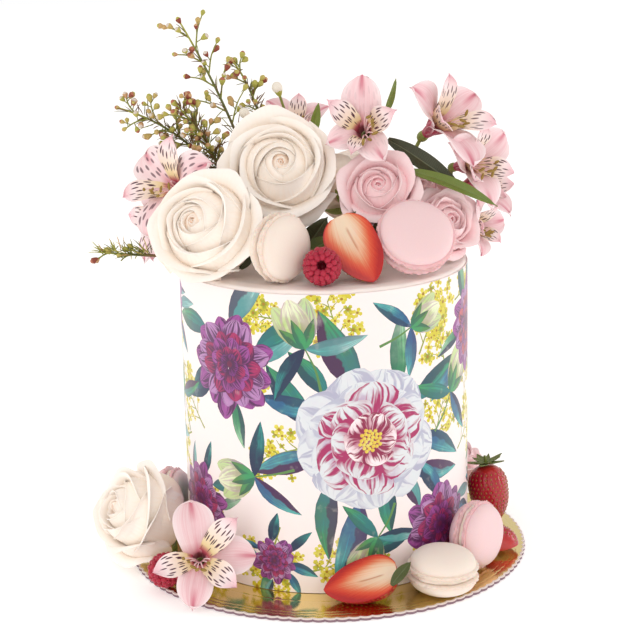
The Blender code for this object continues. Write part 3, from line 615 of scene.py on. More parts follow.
def strawberry_skin():
    """Ripe strawberry skin: wet shine over deep red, paler where the shoulder saw less sun."""
    made, add = finish("strawberry_skin", Roughness=0.28, IOR=1.40, Subsurface_Weight=0.12,
                       Subsurface_Scale=0.003, Coat_Weight=0.45, Coat_Roughness=0.15)
    blush = add("TexNoise", 70.0, 3.0)
    red = add("ValToRGB", blush, stops=((0.3, "#8E0C1C"), (0.5, "#B01226"), (0.72, "#C6202E")))
    shoulder = add("MapRange", add("Attribute", attribute_name="along"), 0.88, 1.0, 0.0, 0.40)
    bump = add("Bump", 0.12, 0.0005, blush)
    return joined(made, Base_Color=add("Mix", shoulder, red, "#D9503A"), Normal=bump)


def strawberry_flesh():
    """Cut strawberry flesh: juicy, red at the skin, fading through orange to a pale streaked core."""
    made, add = finish("strawberry_flesh", Roughness=0.30, IOR=1.38, Subsurface_Weight=0.25,
                       Subsurface_Scale=0.004, Coat_Weight=0.3, Coat_Roughness=0.15)
    keys = ("along", "core", "fan", "seam")
    along, core, fan, seam = (add("Attribute", attribute_name=key) for key in keys)
    rays = add("TexNoise", 2.0, 2.0, add("Mapping", add("CombineXYZ", fan, core), (26.0, 0.9, 1.0)))
    reach = add("Math", core, add("MapRange", rays, 0.3, 0.7, -0.07, 0.07), operation="ADD")
    pulp = add("ValToRGB", reach, stops=((0.04, "#ECD3B8"), (0.22, "#E7B592"), (0.36, "#DE845C"),
                                         (0.50, "#D95330"), (0.70, "#C6301A"), (0.95, "#AA1518")))
    flesh = add("Mix", seam, pulp, "#B9683E")
    ripe = add("Mix", add("MapRange", along, 0.0, 0.34, 0.5, 0.0), flesh, "#C8281C")
    return joined(made, Base_Color=ripe, Normal=add("Bump", 0.35, 0.0004, rays))


def raspberry_bead():
    """Raspberry drupelet: thin skin over juice, with a soft bloom of fine hair, beads darker at random, and
    the hollow's lining darkened as painted shade.
    """
    made, add = finish("raspberry_bead", Roughness=0.36, IOR=1.40, Subsurface_Weight=0.2,
                       Subsurface_Scale=0.002, Sheen_Weight=0.10, Sheen_Roughness=0.5)
    juice = add("TexNoise", 260.0, 2.0)
    red = add("ValToRGB", juice, stops=((0.3, "#8E0F2A"), (0.5, "#B51A3A"), (0.75, "#D03A56")))
    # The shade value darkens beads at random, and darkens the hollow's lining as painted shade
    deep = add("Mix", add("Attribute", attribute_name="shade"), red, "#5E0A1C")
    return joined(made, Base_Color=deep, Normal=add("Bump", 0.2, 0.0002, juice))


def gold_foil(colour):
    """Gold foil laid on card: a near mirror, softened by the card's grain and a faint cloudiness."""
    made, add = finish("gold_foil", Metallic=1.0, Roughness=0.16)
    place = add("TexCoord")
    grain = add("TexNoise", 700.0, 3.0, place)
    cloud = add("TexNoise", 28.0, 3.0, place)
    relief = add("Math", add("Math", grain, 0.35, operation="MULTIPLY"), cloud, operation="ADD")
    return joined(made, Base_Color=add("Mix", cloud, colour, darker(colour, 0.18)),
                  Roughness=add("MapRange", cloud, 0.3, 0.7, 0.10, 0.22),
                  Normal=add("Bump", 0.10, 0.0006, relief))


def buttercream(colour):
    """Smoothed buttercream: satin and slightly waxy, with long marks of the palette knife."""
    made, add = finish("buttercream", Roughness=0.42, IOR=1.46, Subsurface_Weight=0.3, Subsurface_Scale=0.006,
                       Subsurface_Radius=(1.0, 0.75, 0.6))
    marks = add("TexNoise", 2.2, 4.0, add("Mapping", add("TexCoord"), (14.0, 60.0, 60.0), (0.0, 0.0, 0.4)))
    cream = add("Mix", add("MapRange", marks, 0.3, 0.75, 0.0, 0.35), colour, darker(colour, 0.12))
    return joined(made, Base_Color=cream, Normal=add("Bump", 0.35, 0.0010, marks))


def printed_icing(ground):
    """Icing sheet printed with food colour: satin sugar paste, with washes that pool at their edges."""
    made, add = finish("printed_icing", Roughness=0.34, IOR=1.46, Subsurface_Weight=0.06,
                       Subsurface_Scale=0.002, Coat_Weight=0.12, Coat_Roughness=0.3)
    local, low, high, line = (
        add("Attribute", attribute_name=key).outputs for key in ("local", "ink_low", "ink_high", "ink_line"))
    split = add("SeparateXYZ", local["Vector"]).outputs
    place = add("TexCoord")
    # Pigment blooms in blotches of 5 to 10 mm
    blotch = add("TexNoise", 130.0, 3.0, place)
    drift = add("MapRange", blotch, 0.3, 0.7, -0.22, 0.22)
    reach = add("Math", split[0], drift, operation="ADD")
    run = add("MapRange", reach, 0.1, 0.95, interpolation_type="SMOOTHSTEP")
    wash = add("Mix", run, low["Color"], high["Color"])
    # Brush strokes run along each petal, fanning from its foot
    strokes = add("TexNoise", 1.6, 2.5, add("Mapping", local["Vector"], (0.9, 3.0, 37.0)))
    fade = add("MapRange", split[0], 0.25, 1.0, 0.19, -0.04)
    stroke = add("MapRange", add("Math", strokes, fade, operation="ADD"), 0.50, 0.60)
    strong = add("Math", stroke, low["Alpha"], operation="MULTIPLY")
    # One half of a leaf lies in shade, with a ragged border along the midrib
    ragged = add("MapRange", add("Math", drift, split[1], operation="ADD"), -0.08, 0.16)
    half = add("Math", ragged, line["Alpha"], operation="MULTIPLY")
    inked = add("Mix", add("Math", strong, half, operation="MAXIMUM"), wash, line["Color"])
    # Colour pools at the border of a wash
    border = add("MapRange", add("Math", split[1], operation="ABSOLUTE"), 0.72, 1.0, 0.0, 0.45)
    deep = add("Mix", add("Math", border, high["Alpha"], operation="MULTIPLY"), inked, line["Color"])
    worn = add("Mix", add("MapRange", blotch, 0.62, 0.85, 0.0, 0.3), deep, ground)
    paste = add("TexNoise", 60.0, 3.0, place)
    return joined(made, Base_Color=worn, Normal=add("Bump", 0.10, 0.0012, paste))


# Stage

def camera_axes():
    """The camera's right, up and forward, with its small roll."""
    forward = Vector((0, math.cos(CAMERA_ELEVATION), -math.sin(CAMERA_ELEVATION)))
    level = Vector((1, 0, 0))
    up = Vector((0, math.sin(CAMERA_ELEVATION), math.cos(CAMERA_ELEVATION)))
    right = level * math.cos(CAMERA_ROLL) + up * math.sin(CAMERA_ROLL)
    return right, up * math.cos(CAMERA_ROLL) - level * math.sin(CAMERA_ROLL), forward


# Lights: kind, place, what it looks at, colour, then its settings. Suns are broad, soft and even
LIGHTS = {
    "key": ("SUN", (-0.40, -0.88, 0.62), (0, 0, 0), "#FFFCF8", {"energy": 0.56, "angle": math.radians(50)}),
    "fill": ("SUN", (0.42, -0.88, 0.10), (0, 0, 0), "#FFFDFB", {"energy": 0.32, "angle": math.radians(50)}),
    "strip_left": ("AREA", (-1.3, 0.15, 0.35), CAMERA_TARGET, "#FFFFFF",
                   {"energy": 3.5, "shape": "RECTANGLE", "size": 0.25, "size_y": 1.2}),
    "strip_right": ("AREA", (1.3, 0.25, 0.35), CAMERA_TARGET, "#FFFFFF",
                    {"energy": 4.5, "shape": "RECTANGLE", "size": 0.25, "size_y": 1.2}),
}
ROOM_LIGHT = 0.77
FLOOR_REACH = 4.0


class SetStage(bpy.types.Operator):
    """Sets the pale floor, the soft studio light and the camera"""

    bl_idname = "cake.stage"
    bl_label = "Studio"

    def execute(self, context):
        scene = context.scene
        mesh = bpy.data.meshes.new("floor")
        shape = bmesh.new()
        bmesh.ops.create_grid(shape, x_segments=8, y_segments=8, size=FLOOR_REACH)
        shape.to_mesh(mesh)
        shape.free()
        mesh.materials.append(grained("studio_paper"))
        floor = bpy.data.objects.new("floor", mesh)
        floor.location.z = BOARD_LOW.z - 0.05 * MM
        scene.collection.objects.link(floor)

        right, up, forward = camera_axes()
        camera = bpy.data.objects.new("camera", bpy.data.cameras.new("camera"))
        camera.data.lens = CAMERA_LENS
        camera.data.sensor_width = CAMERA_SENSOR
        faced = Matrix((right, up, -forward)).transposed().to_4x4()
        camera.matrix_world = Matrix.Translation(CAMERA_TARGET - forward * CAMERA_DISTANCE) @ faced
        scene.collection.objects.link(camera)
        scene.camera = camera

        for name, (kind, place, looks_at, tone, settings) in LIGHTS.items():
            light = bpy.data.lights.new(name, kind)
            light.color = linear(tone)[:3]
            for key, value in settings.items():
                setattr(light, key, value)
            made = bpy.data.objects.new(name, light)
            made.location = place
            made.rotation_mode = "QUATERNION"
            made.rotation_quaternion = (Vector(looks_at) - Vector(place)).to_track_quat("-Z", "Y")
            scene.collection.objects.link(made)
        world = bpy.data.worlds.new("soft_room")
        world.use_nodes = True
        tree = world.node_tree
        room = tree.nodes["Background"]
        room.inputs["Color"].default_value = linear("#FFFBF8")
        room.inputs["Strength"].default_value = ROOM_LIGHT
        seen = put(tree, "Background", "#FFFFFF", 1.0)
        both = put(tree, "MixShader", put(tree, "LightPath").outputs["Is Camera Ray"], room, seen)
        tree.links.new(both.outputs[0], tree.nodes["World Output"].inputs["Surface"])
        scene.world = world
        scene.view_settings.view_transform = "Standard"
        return {"FINISHED"}


# Board and cake

SCALLOPS = 112
SCALLOP_DEPTH = 1.3 * MM
PRESSED_RINGS = (0.955, 0.925, 0.80)
RING_WIDTH = 0.004
RING_DEPTH = 0.12 * MM
FOIL, CARD, CUT = range(3)


def board_parts():
    """The foil board: scallops round its edge, a pale cut line, shallow pressed rings."""
    sides = SCALLOPS * 6
    angle = math.tau * np.arange(sides) / sides
    wave = SCALLOP_DEPTH * (1 - np.abs(np.cos(SCALLOPS * angle / 2)) ** 0.8)
    full, floor = BOARD_HIGH.x, BOARD_LOW.z
    steps = (-2.5, -1.2, -0.5, 0, 0.5, 1.2, 2.5)
    rows = [(full * share - wave * share, floor) for share in (0.2, 0.6, 0.98)]
    rows += [(full * 0.997 - wave, floor + 0.05 * MM), (full - wave, floor + 0.35 * MM),
             (full - wave, BOARD_TOP - 0.75 * MM), (full * 0.998 - wave, BOARD_TOP - 0.10 * MM)]
    pressed = [ring + RING_WIDTH * s for ring in PRESSED_RINGS for s in steps]
    for share in sorted([0.04, 0.3, 0.6, 0.99] + pressed)[::-1]:
        sunk = sum(math.exp(-((share - ring) / RING_WIDTH) ** 2) for ring in PRESSED_RINGS)
        rows.append((full * share - wave * share**12, BOARD_TOP - RING_DEPTH * sunk))
    rings = np.stack([np.stack([r * np.cos(angle), r * np.sin(angle), np.full(sides, z)], -1)
                      for r, z in rows])
    points, (wall, low_end, high_end), _ = ring_part(rings, 0, (0, 0, floor), (0, 0, BOARD_TOP))
    card, cut_line = 5 * sides, 7 * sides
    faces = [(wall[0][:card], CARD), (wall[0][card:cut_line], CUT), (wall[0][cut_line:], FOIL),
             (low_end[0], CARD), (high_end[0], FOIL)]
    return [(points, faces, {})]


def cake_part():
    """The frosted body: crisp rim, top spread with a palette knife in slow arcs."""
    radius, top = CAKE_HIGH.x, CAKE_TOP
    edge = 2.2 * MM
    flat = [(radius * share, top) for share in np.linspace(0.03, 0.955, 36)]
    arc = [(radius - edge + edge * math.sin(a), top - edge + edge * math.cos(a))
           for a in np.linspace(0, math.pi / 2, 8)]
    wall = [(radius, z) for z in np.linspace(top - 3 * MM, CAKE_LOW.z, 4)]

    def spread(angle, r, z):
        lift = np.sin(r / MM * 0.42 + 2.2 * np.sin(angle) + 0.6 * np.sin(3 * angle + 1.0))
        flatness = smooth(z, top - 0.5 * MM, top - 0.05 * MM) * smooth(radius - r, 0.0, 7 * MM)
        rim = smooth(z, top - 2.4 * MM, top - 0.6 * MM) * (1 - smooth(radius - r, 3 * MM, 9 * MM))
        uneven = np.sin(5 * angle + 0.8) + 0.6 * np.sin(13 * angle + 2.0) + 0.4 * np.sin(29 * angle)
        return r, z + 0.16 * MM * flatness * (lift - 1) - 0.14 * MM * rim * (uneven + 2)

    return lathe_part([(0, top), *flat, *arc, *wall, (0, CAKE_LOW.z)], 240, swell=spread)


# Printed sheet. Places on it are (x round the cake from its front, z up), in mm

Motif = namedtuple("Motif", "outline place angle length width belly blunt bend low high line streak pool "
                            "half seed")

ROUND = math.tau * SHEET_RADIUS / MM
EDGE = ROUND / 2 - 0.1
PRINT_LOW, PRINT_HIGH = SHEET_LOW.z / MM, SHEET_HIGH.z / MM
SHEET_THICK = 0.7 * MM
FRONT_NET, BACK_NET = (111, 35), (111, 5)
ENDLESS = 1e3
INK = {
    "blush": "#FBE9EC", "lilac": "#DACFDF", "pearl": "#DEE2E6", "smoke": "#A9A9C2", "azure": "#2F6F9E",
    "coral": "#C5525C", "lime": "#A9C766", "cream": "#E9EECB", "wine": "#6A1A45", "aqua": "#9AD0CC",
    "magenta": "#A92A62", "crimson": "#8E1F4A", "plum": "#4B1B4C", "violet": "#7A2F7E", "mauve": "#B684B8",
    "orchid": "#9C4A97", "gold": "#E2B93C", "teal": "#2E8F8A", "emerald": "#3F9A63", "mint": "#9CCBA4",
    "navy": "#22304F", "turquoise": "#58B3AE", "lemon": "#D2C52C", "straw": "#E3D85E", "olive": "#8E9C30",
    "ochre": "#A87F1E", "pear": "#C5D89A", "moss": "#5E8A4A",
}
LEAF_INKS = {"teal": "emerald", "emerald": "mint", "turquoise": "aqua", "azure": "turquoise", "navy": "teal"}

# Rings of petals: how many, reach and width as shares of the bloom, inks at the foot, tip and strokes,
# how strong the strokes are, and how much colour pools at the border
OPEN_BLOOM = (
    (9, 1.0, 0.74, "lilac", "pearl", "smoke", 0.8, 1.0), (8, 0.86, 0.68, "smoke", "pearl", "smoke", 0.6, 0.9),
    (6, 0.74, 0.66, "orchid", "pearl", "magenta", 1.0, 0.3),
    (5, 0.56, 0.56, "magenta", "pearl", "magenta", 1.0, 0.4),
    (5, 0.38, 0.42, "magenta", "blush", "crimson", 1.0, 0.7))
FULL_BLOOM = (
    (12, 1.0, 0.46, "plum", "orchid"), (11, 0.84, 0.42, "violet", "mauve"), (9, 0.68, 0.38, "plum", None),
    (8, 0.52, 0.34, "wine", "orchid"), (6, 0.36, 0.28, "plum", None), (5, 0.22, 0.20, "wine", "violet"))

# Where things are painted: x, z, size, then the angle in radians
OPEN_BLOOMS = ((26, 98, 48), (-186, 86, 47), (198, 100, 46))
FULL_BLOOMS = ((-62, 142, 34), (78, 34, 30), (-96, 46, 28), (122, 152, 30), (-250, 148, 32), (268, 42, 30),
               (-140, 168, 22), (150, 40, 20), (-34, 22, 15), (-270, 20, 20))
PAINTED_BUDS = ((-12, 156, 31, 1.9), (-46, 74, 30, 3.4), (90, 116, 30, 0.9), (-126, 110, 30, 2.2),
                (150, 76, 28, 5.4), (-226, 32, 28, 4.1), (30, 36, 26, 4.2), (54, 164, 26, 0.4))
SPRAYS = (
    (14, 146, 40, 1.9), (60, 146, 38, 1.1), (100, 76, 38, 0.5), (-30, 44, 38, 4.4), (-88, 96, 38, 2.4),
    (16, 40, 36, 5.0), (-14, 16, 30, 0.2), (112, 104, 38, 1.2), (-150, 50, 40, 1.7), (-140, 126, 38, 1.4),
    (154, 112, 38, 2.0), (236, 130, 40, 1.5), (-236, 92, 40, 1.7), (160, 18, 34, 0.4), (-200, 22, 34, 2.7),
    (-66, 16, 28, 3.3), (-20, 172, 26, 3.0), (50, 14, 30, 0.1), (96, 172, 28, 0.2), (-108, 88, 34, 3.6),
    (-26, 130, 34, 2.7), (240, 84, 36, 0.7), (200, 40, 34, 3.5), (70, 84, 34, 1.2), (-8, 96, 34, 3.3),
    (84, 134, 32, 1.9), (-92, 20, 30, 1.2))


def half_width(t, width, belly, blunt):
    """Half the width of a petal or leaf at t, widest at the belly."""
    power = math.log(0.5) / math.log(belly)
    return width / 2 * np.sin(math.pi * np.clip(t, 0, 1) ** power) ** blunt


def hidden_share(rings, row):
    """The share of a ring's petals that the next ring covers for certain."""
    return 0.45 * rings[row + 1][1] / rings[row][1] if row + 1 < len(rings) else 0.0


class Print:
    """Gathers the painted shapes of the sheet, each on top of those before it."""

    def __init__(self):
        self.motifs = []

    def petal(self, place, angle, length, width, low, high, line, belly=0.6, blunt=0.6, bend=0.0, streak=0.0,
              pool=0.6, half=0.0, frill=0.0, steps=9, seed=0.0, start=0.0):
        """One petal or leaf at an angle in radians, drawn from its start, where what lies on it ends."""
        t = start + (1 - start) * (1 - np.cos(math.pi * np.arange(steps + 1) / steps)) / 2
        half_at = half_width(t, width, belly, blunt)
        wave = 1 + frill * np.sin(9.0 * t + seed * 5) * smooth(t, 0.3, 0.8)
        near = np.stack([t * length, -half_at * wave], -1)
        far = np.stack([t * length, half_at * (2 - wave)], -1)
        outline = np.concatenate([near, far[-2::-1] if start else far[-2:0:-1]])
        outline[:, 1] += bend * length * (outline[:, 0] / length) ** 2
        c, s = math.cos(angle), math.sin(angle)
        outline = outline @ np.array([[c, s], [-s, c]]) + place
        inks = (INK[low], INK[high], INK[line])
        self.motifs.append(Motif(outline, place, angle, length, width, belly, blunt, bend, *inks,
                                 streak, pool, half, seed))

    def dot(self, centre, radius, low, high=None, line=None, steps=5, seed=0.0):
        """A small round dab."""
        place, size = (centre[0] - radius, centre[1]), 2 * radius
        self.petal(place, 0.0, size, size, low, high or low, line or low, belly=0.5, blunt=0.5, pool=0.3,
                   steps=steps, seed=seed)

    def stem(self, points, width, ink, line):
        """A painted stalk, tapering along a curve."""
        curve = curve_points(np.array(points, float), 3 * len(points) + 2)
        along = np.gradient(curve, axis=0)
        side = np.stack([-along[:, 1], along[:, 0]], -1)
        side = side / (np.linalg.norm(along, axis=1, keepdims=True) + 1e-9)
        taper = np.linspace(0.5, 0.22, len(curve))[:, None] * width
        outline = np.concatenate([curve - side * taper, (curve + side * taper)[::-1]])
        inks = (INK[ink], INK[ink], INK[line])
        self.motifs.append(Motif(outline, tuple(curve[0]), 0.0, ENDLESS, ENDLESS, 0.5, 0.5, 0.0, *inks,
                                 0.0, 0.0, 0.0, 0.3))

    def leaf(self, place, angle, length, width, draw, tone):
        """A lance leaf with one half in shade."""
        self.petal(place, angle, length, width, tone, LEAF_INKS[tone], draw.choice(("navy", "navy", "plum")),
                   belly=0.45, blunt=0.9, bend=draw.uniform(-0.25, 0.25), streak=0.35,
                   half=draw.choice((0.5, 0.8, 0.95)), frill=0.08, steps=10, seed=draw.uniform(0, 9))

    def whorl(self, x, z, turn, draw, count, reach, width, *inks, **look):
        """One ring of painted petals."""
        for number in range(count):
            angle = turn + math.tau * (number + draw.uniform(-0.14, 0.14)) / count
            long, wide = reach * draw.uniform(0.86, 1.05), width * draw.uniform(0.88, 1.12)
            self.petal((x, z), angle, long, wide, *inks, bend=draw.uniform(-0.16, 0.16),
                       seed=draw.uniform(0, 9), **look)

    def open_bloom(self, x, z, radius, draw):
        """A large pale bloom streaked with magenta: ruffled whorls round a golden heart."""
        turn = draw.uniform(0, math.tau)
        for row, (count, reach, width, low, high, line, streak, pool) in enumerate(OPEN_BLOOM):
            self.whorl(x, z, turn + 0.43 * row, draw, count, radius * reach, radius * width, low, high, line,
                       streak=streak, pool=pool, belly=0.70, blunt=0.50, frill=0.14,
                       start=hidden_share(OPEN_BLOOM, row))
        stamens = 30
        for number in range(stamens):
            angle = number * 2.4
            reach = radius * 0.15 * math.sqrt((number + 0.5) / stamens)
            place = (x + reach * math.cos(angle), z + reach * math.sin(angle))
            self.dot(place, radius * 0.026, "gold", "straw", "crimson", 4, number)

    def full_bloom(self, x, z, radius, draw):
        """A many-petalled plum bloom, dark at its heart, mauve at its tips."""
        turn = draw.uniform(0, math.tau)
        warm = draw.choice(("magenta", "coral"))
        for row, (count, reach, width, low, high) in enumerate(FULL_BLOOM):
            inks = (low, high or warm, "plum")
            self.whorl(x, z, turn + 0.31 * row, draw, count, radius * reach, radius * width, *inks,
                       streak=0.9, pool=0.8, belly=0.66, frill=0.16, start=hidden_share(FULL_BLOOM, row))
        self.dot((x, z), radius * 0.06, "wine")

    def bud(self, x, z, length, angle, draw):
        """A plump bud on its stalk, pear green with a blush, held by three sepals."""
        foot = (x - 0.9 * length * math.cos(angle), z - 0.9 * length * math.sin(angle))
        self.stem([foot, ((foot[0] + x) / 2 + 1.5, (foot[1] + z) / 2), (x, z)], 1.8, "moss", "navy")
        sides = ((0.34, 0.48, "lime", "pear", 0.3), (-0.34, 0.48, "mint", "pear", 0.5),
                 (0.0, 0.58, "lime", "cream", 0.4))
        for turn, width, low, high, streak in sides:
            self.petal((x, z), angle + turn, length, length * width, low, high, "orchid", belly=0.5,
                       streak=streak, pool=0.5, steps=8, seed=draw.uniform(0, 9))
        for turn in (0.62, -0.62, 0.1):
            self.petal((x, z), angle + turn, length * 0.62, length * 0.22, "emerald", "moss", "navy",
                       belly=0.4, blunt=0.9, half=0.5, steps=6, seed=draw.uniform(0, 9))

    def spray(self, x, z, height, angle, draw):
        """A branching spray of small yellow florets."""
        way = np.array((math.cos(angle), math.sin(angle)))
        side = np.array((-way[1], way[0]))
        bend = draw.uniform(-0.18, 0.18)
        spine = [(x, z) + way * height * t + side * bend * height * t * t for t in (0, 0.35, 0.7, 1.0)]
        self.stem(spine, 1.3, "olive", "moss")
        for number, start in enumerate(curve_points(spine, 12)[2:]):
            reach = height * (0.34 - 0.022 * number) * draw.uniform(0.8, 1.2)
            end = start + side * (-1) ** number * reach + way * reach * 0.75
            self.stem([start, (start + end) / 2 + way, end], 0.8, "olive", "moss")
            for _ in range(3):
                at = end + np.array((draw.gauss(0, 4.4), draw.gauss(0, 4.4)))
                self.floret(at, draw.uniform(2.9, 4.3), draw)
            self.floret((start + end) / 2 + side * draw.uniform(-1.5, 1.5), draw.uniform(1.8, 2.6), draw)

    def floret(self, centre, radius, draw):
        """Four tiny yellow petals."""
        turn = draw.uniform(0, math.tau)
        tone = draw.choice((("lemon", "straw"), ("straw", "lemon"), ("olive", "lemon"), ("lemon", "lemon")))
        for number in range(4):
            self.petal(tuple(centre), turn + math.tau * number / 4, radius, radius * 0.8, *tone, "olive",
                       steps=3, seed=number)
        self.dot(tuple(centre), radius * 0.28, "ochre", steps=3)


def lay_out(draw):
    """The sheet's own layout, from back to front: sprays, leaves, buds, then blooms."""
    made = Print()
    for place in SPRAYS:
        made.spray(*place, draw)
    tones = ("teal", "emerald", "turquoise", "azure", "navy")
    for blooms, leaves, long in ((OPEN_BLOOMS, 11, 1.0), (FULL_BLOOMS, 8, 1.2)):
        for x, z, radius in blooms:
            for number in range(leaves):
                angle = math.tau * (number + draw.uniform(-0.35, 0.35)) / leaves
                reach = radius * draw.uniform(0.55, 0.85)
                foot = (x + reach * math.cos(angle), z + reach * math.sin(angle))
                size = radius * long * draw.uniform(0.7, 1.15)
                turned_by = draw.uniform(-0.6, 0.6)
                width = size * draw.uniform(0.26, 0.38)
                made.leaf(foot, angle + turned_by, size, width, draw, draw.choice(tones))
    for x, z, length, angle in PAINTED_BUDS:
        for turn in (-1.1, 1.2):
            made.leaf((x, z), angle + math.pi + turn, length * 1.2, length * 0.34, draw, draw.choice(tones))
        made.bud(x, z, length, angle, draw)
    for bloom, places in ((made.full_bloom, FULL_BLOOMS), (made.open_bloom, OPEN_BLOOMS)):
        for place in places:
            bloom(*place, draw)
    return made.motifs


def over_the_seam(motifs):
    """Adds each shape that crosses the seam again on the other side."""
    for motif in motifs:
        yield motif
        for shift in (-ROUND, ROUND):
            outline = motif.outline + (shift, 0)
            if outline[:, 0].max() > -ROUND / 2 and outline[:, 0].min() < ROUND / 2:
                yield motif._replace(outline=outline, place=(motif.place[0] + shift, motif.place[1]))


def in_petal(motif, points):
    """How far points of the sheet lie along and across a shape."""
    c, s = math.cos(motif.angle), math.sin(motif.angle)
    dx, dz = points[..., 0] - motif.place[0], points[..., 1] - motif.place[1]
    x, y = dx * c + dz * s, dz * c - dx * s
    y = y - motif.bend * motif.length * (x / motif.length) ** 2
    t = np.clip(x / motif.length, 0, 1)
    half = half_width(t, motif.width, motif.belly, motif.blunt)
    return t, np.clip(y / np.maximum(half, 0.04 * motif.width), -1, 1)


def inside(points, outline):
    """Which points lie inside an outline, by counting crossings."""
    x, y = points[:, :1], points[:, 1:]
    (x1, y1), (x2, y2) = outline.T, np.roll(outline, -1, axis=0).T
    crosses = (y1 > y) != (y2 > y)
    with np.errstate(divide="ignore", invalid="ignore"):
        at = x1 + (y - y1) * (x2 - x1) / (y2 - y1)
    return (crosses & (x < at)).sum(axis=1) % 2 == 1


def showing(motifs):
    """The shapes that no later one wholly covers."""
    low = np.array([motif.outline.min(axis=0) for motif in motifs])
    high = np.array([motif.outline.max(axis=0) for motif in motifs])
    hidden = set()
    for number, cover in enumerate(motifs):
        if cover.length > 6:
            within = ((low[:number] > low[number]) & (high[:number] < high[number])).all(axis=1)
            within = np.flatnonzero(within)
            hidden.update(k for k in within
                          if k not in hidden and inside(motifs[k].outline, cover.outline).all())
    return [motif for number, motif in enumerate(motifs) if number not in hidden]


def inner_points(motif):
    """Points inside a shape, so that its washes run smoothly."""
    rows, columns = ((0.25, 0.5, 0.75), (0.0,)) if 6 < motif.length < ENDLESS else ((), ())
    if 9 < motif.width < ENDLESS:
        rows, columns = (0.5, 0.68, 0.84), (-0.45, 0.0, 0.45)
    c, s = math.cos(motif.angle), math.sin(motif.angle)
    for t in rows:
        half = float(half_width(t, motif.width, motif.belly, motif.blunt))
        for u in columns:
            x, y = t * motif.length, u * half + motif.bend * motif.length * t * t
            yield (motif.place[0] + x * c - y * s, motif.place[1] + x * s + y * c)


def net(columns, rows):
    """The places of a net's columns and rows on the sheet."""
    return np.linspace(-EDGE, EDGE, columns), np.linspace(PRINT_LOW, PRINT_HIGH, rows)


def cut_front(motifs):
    """The front of the sheet, cut along every painted edge."""
    xs, zs = net(*FRONT_NET)
    points = [(x, PRINT_LOW) for x in xs[:-1]] + [(EDGE, z) for z in zs[:-1]]
    points += [(x, PRINT_HIGH) for x in xs[:0:-1]] + [(-EDGE, z) for z in zs[:0:-1]]
    faces = [list(range(len(points)))]
    for motif in motifs:
        faces.append(list(range(len(points), len(points) + len(motif.outline))))
        points.extend(map(tuple, motif.outline))
    for motif in motifs:
        points.extend(inner_points(motif))
    points.extend((x, z) for x in xs[1:-1] for z in zs[1:-1])
    return cut_flat(points, faces)


def cut_flat(points, faces):
    """The plane cut along faces: its points, its triangles in the first face, and the top face of each."""
    cut = delaunay_2d_cdt([Vector(p) for p in points], [], faces, 0, 1e-4, True)
    kept = [(face, max(origins)) for face, origins in zip(cut[2], cut[5]) if 0 in origins and len(face) == 3]
    used, corners = np.unique(np.array([face for face, _ in kept]), return_inverse=True)
    flat = np.array([tuple(p) for p in cut[0]])[used]
    return flat, corners.reshape(-1, 3), np.array([owner for _, owner in kept])


def border_loop(faces):
    """The points round the border of a cut sheet, in order."""
    edges = np.concatenate([faces[:, [0, 1]], faces[:, [1, 2]], faces[:, [2, 0]]]).tolist()
    known = {(a, b) for a, b in edges}
    after = {a: b for a, b in edges if (b, a) not in known}
    loop = [next(iter(after))]
    while after[loop[-1]] != loop[0]:
        loop.append(after[loop[-1]])
    return np.array(loop)


def rolled_sheet(name, motifs, material):
    """The printed sheet as a closed solid, rolled round the cake."""
    flat, faces, owner = cut_front(motifs)
    loop = border_loop(faces)
    # The back of the sheet is plain: the same border and a coarse net
    xs, zs = net(*BACK_NET)
    coarse = [(x, z) for x in xs[1:-1] for z in zs[1:-1]]
    back, back_faces, _ = cut_flat(np.concatenate([flat[loop], coarse]), [list(range(len(loop)))])
    near = {tuple(p): k for k, p in enumerate(np.round(back, 3))}
    joints = np.array([near[tuple(p)] for p in np.round(flat[loop], 3)]) + len(flat)
    walls = []
    for points, radius in ((flat, SHEET_RADIUS), (back, SHEET_RADIUS - SHEET_THICK)):
        angle = points[:, 0] * MM / SHEET_RADIUS
        walls.append(np.stack([radius * np.sin(angle), -radius * np.cos(angle), points[:, 1] * MM], -1))
    side = np.stack([np.roll(loop, -1), loop, joints, np.roll(joints, -1)], -1)
    parts = [part(np.concatenate(walls), [(faces, 0), (back_faces[:, ::-1] + len(flat), 0), (side, 0)])]
    mesh = piece(name, parts, [material], "icing_sheet", name, crease=60.0).data
    local = np.zeros((len(mesh.loops), 3), np.float32)
    bare = np.array((*colours().sheet[:3], 0.0), np.float32)
    inks = {key: np.tile(bare, (len(mesh.loops), 1)) for key in ("ink_low", "ink_high", "ink_line")}
    for number, motif in enumerate(motifs):
        mine = np.flatnonzero(owner == number + 1)
        if not len(mine):
            continue
        t, u = in_petal(motif, flat[faces[mine]])
        rows = (mine[:, None] * 3 + np.arange(3)).ravel()
        local[rows] = np.stack([t.ravel(), u.ravel(), np.full(t.size, motif.seed)], -1)
        inks["ink_low"][rows] = linear(motif.low, motif.streak)
        inks["ink_high"][rows] = linear(motif.high, motif.pool)
        inks["ink_line"][rows] = linear(motif.line, motif.half)
    mesh.attributes.new("local", "FLOAT_VECTOR", "CORNER").data.foreach_set("vector", local.ravel())
    for key, values in inks.items():
        mesh.attributes.new(key, "FLOAT_COLOR", "CORNER").data.foreach_set("color", values.ravel())


class MakeCake(bpy.types.Operator):
    """Makes the frosted body, its printed icing sheet and the foil board"""

    bl_idname = "cake.body"
    bl_label = "Cake and Board"

    def execute(self, context):
        tone = colours()
        looks = [gold_foil(tone.foil), grained("grey_card"), grained("cut_card")]
        piece("gold_board", board_parts(), looks, "gold_foil", "board", crease=30.0)
        piece("frosted_cake", [cake_part()], [buttercream(tone.frosting)], "buttercream", "cake", crease=50.0)
        motifs = showing(list(over_the_seam(lay_out(random.Random(11)))))
        rolled_sheet("icing_sheet", motifs, printed_icing(tone.sheet))
        return {"FINISHED"}


# Roses

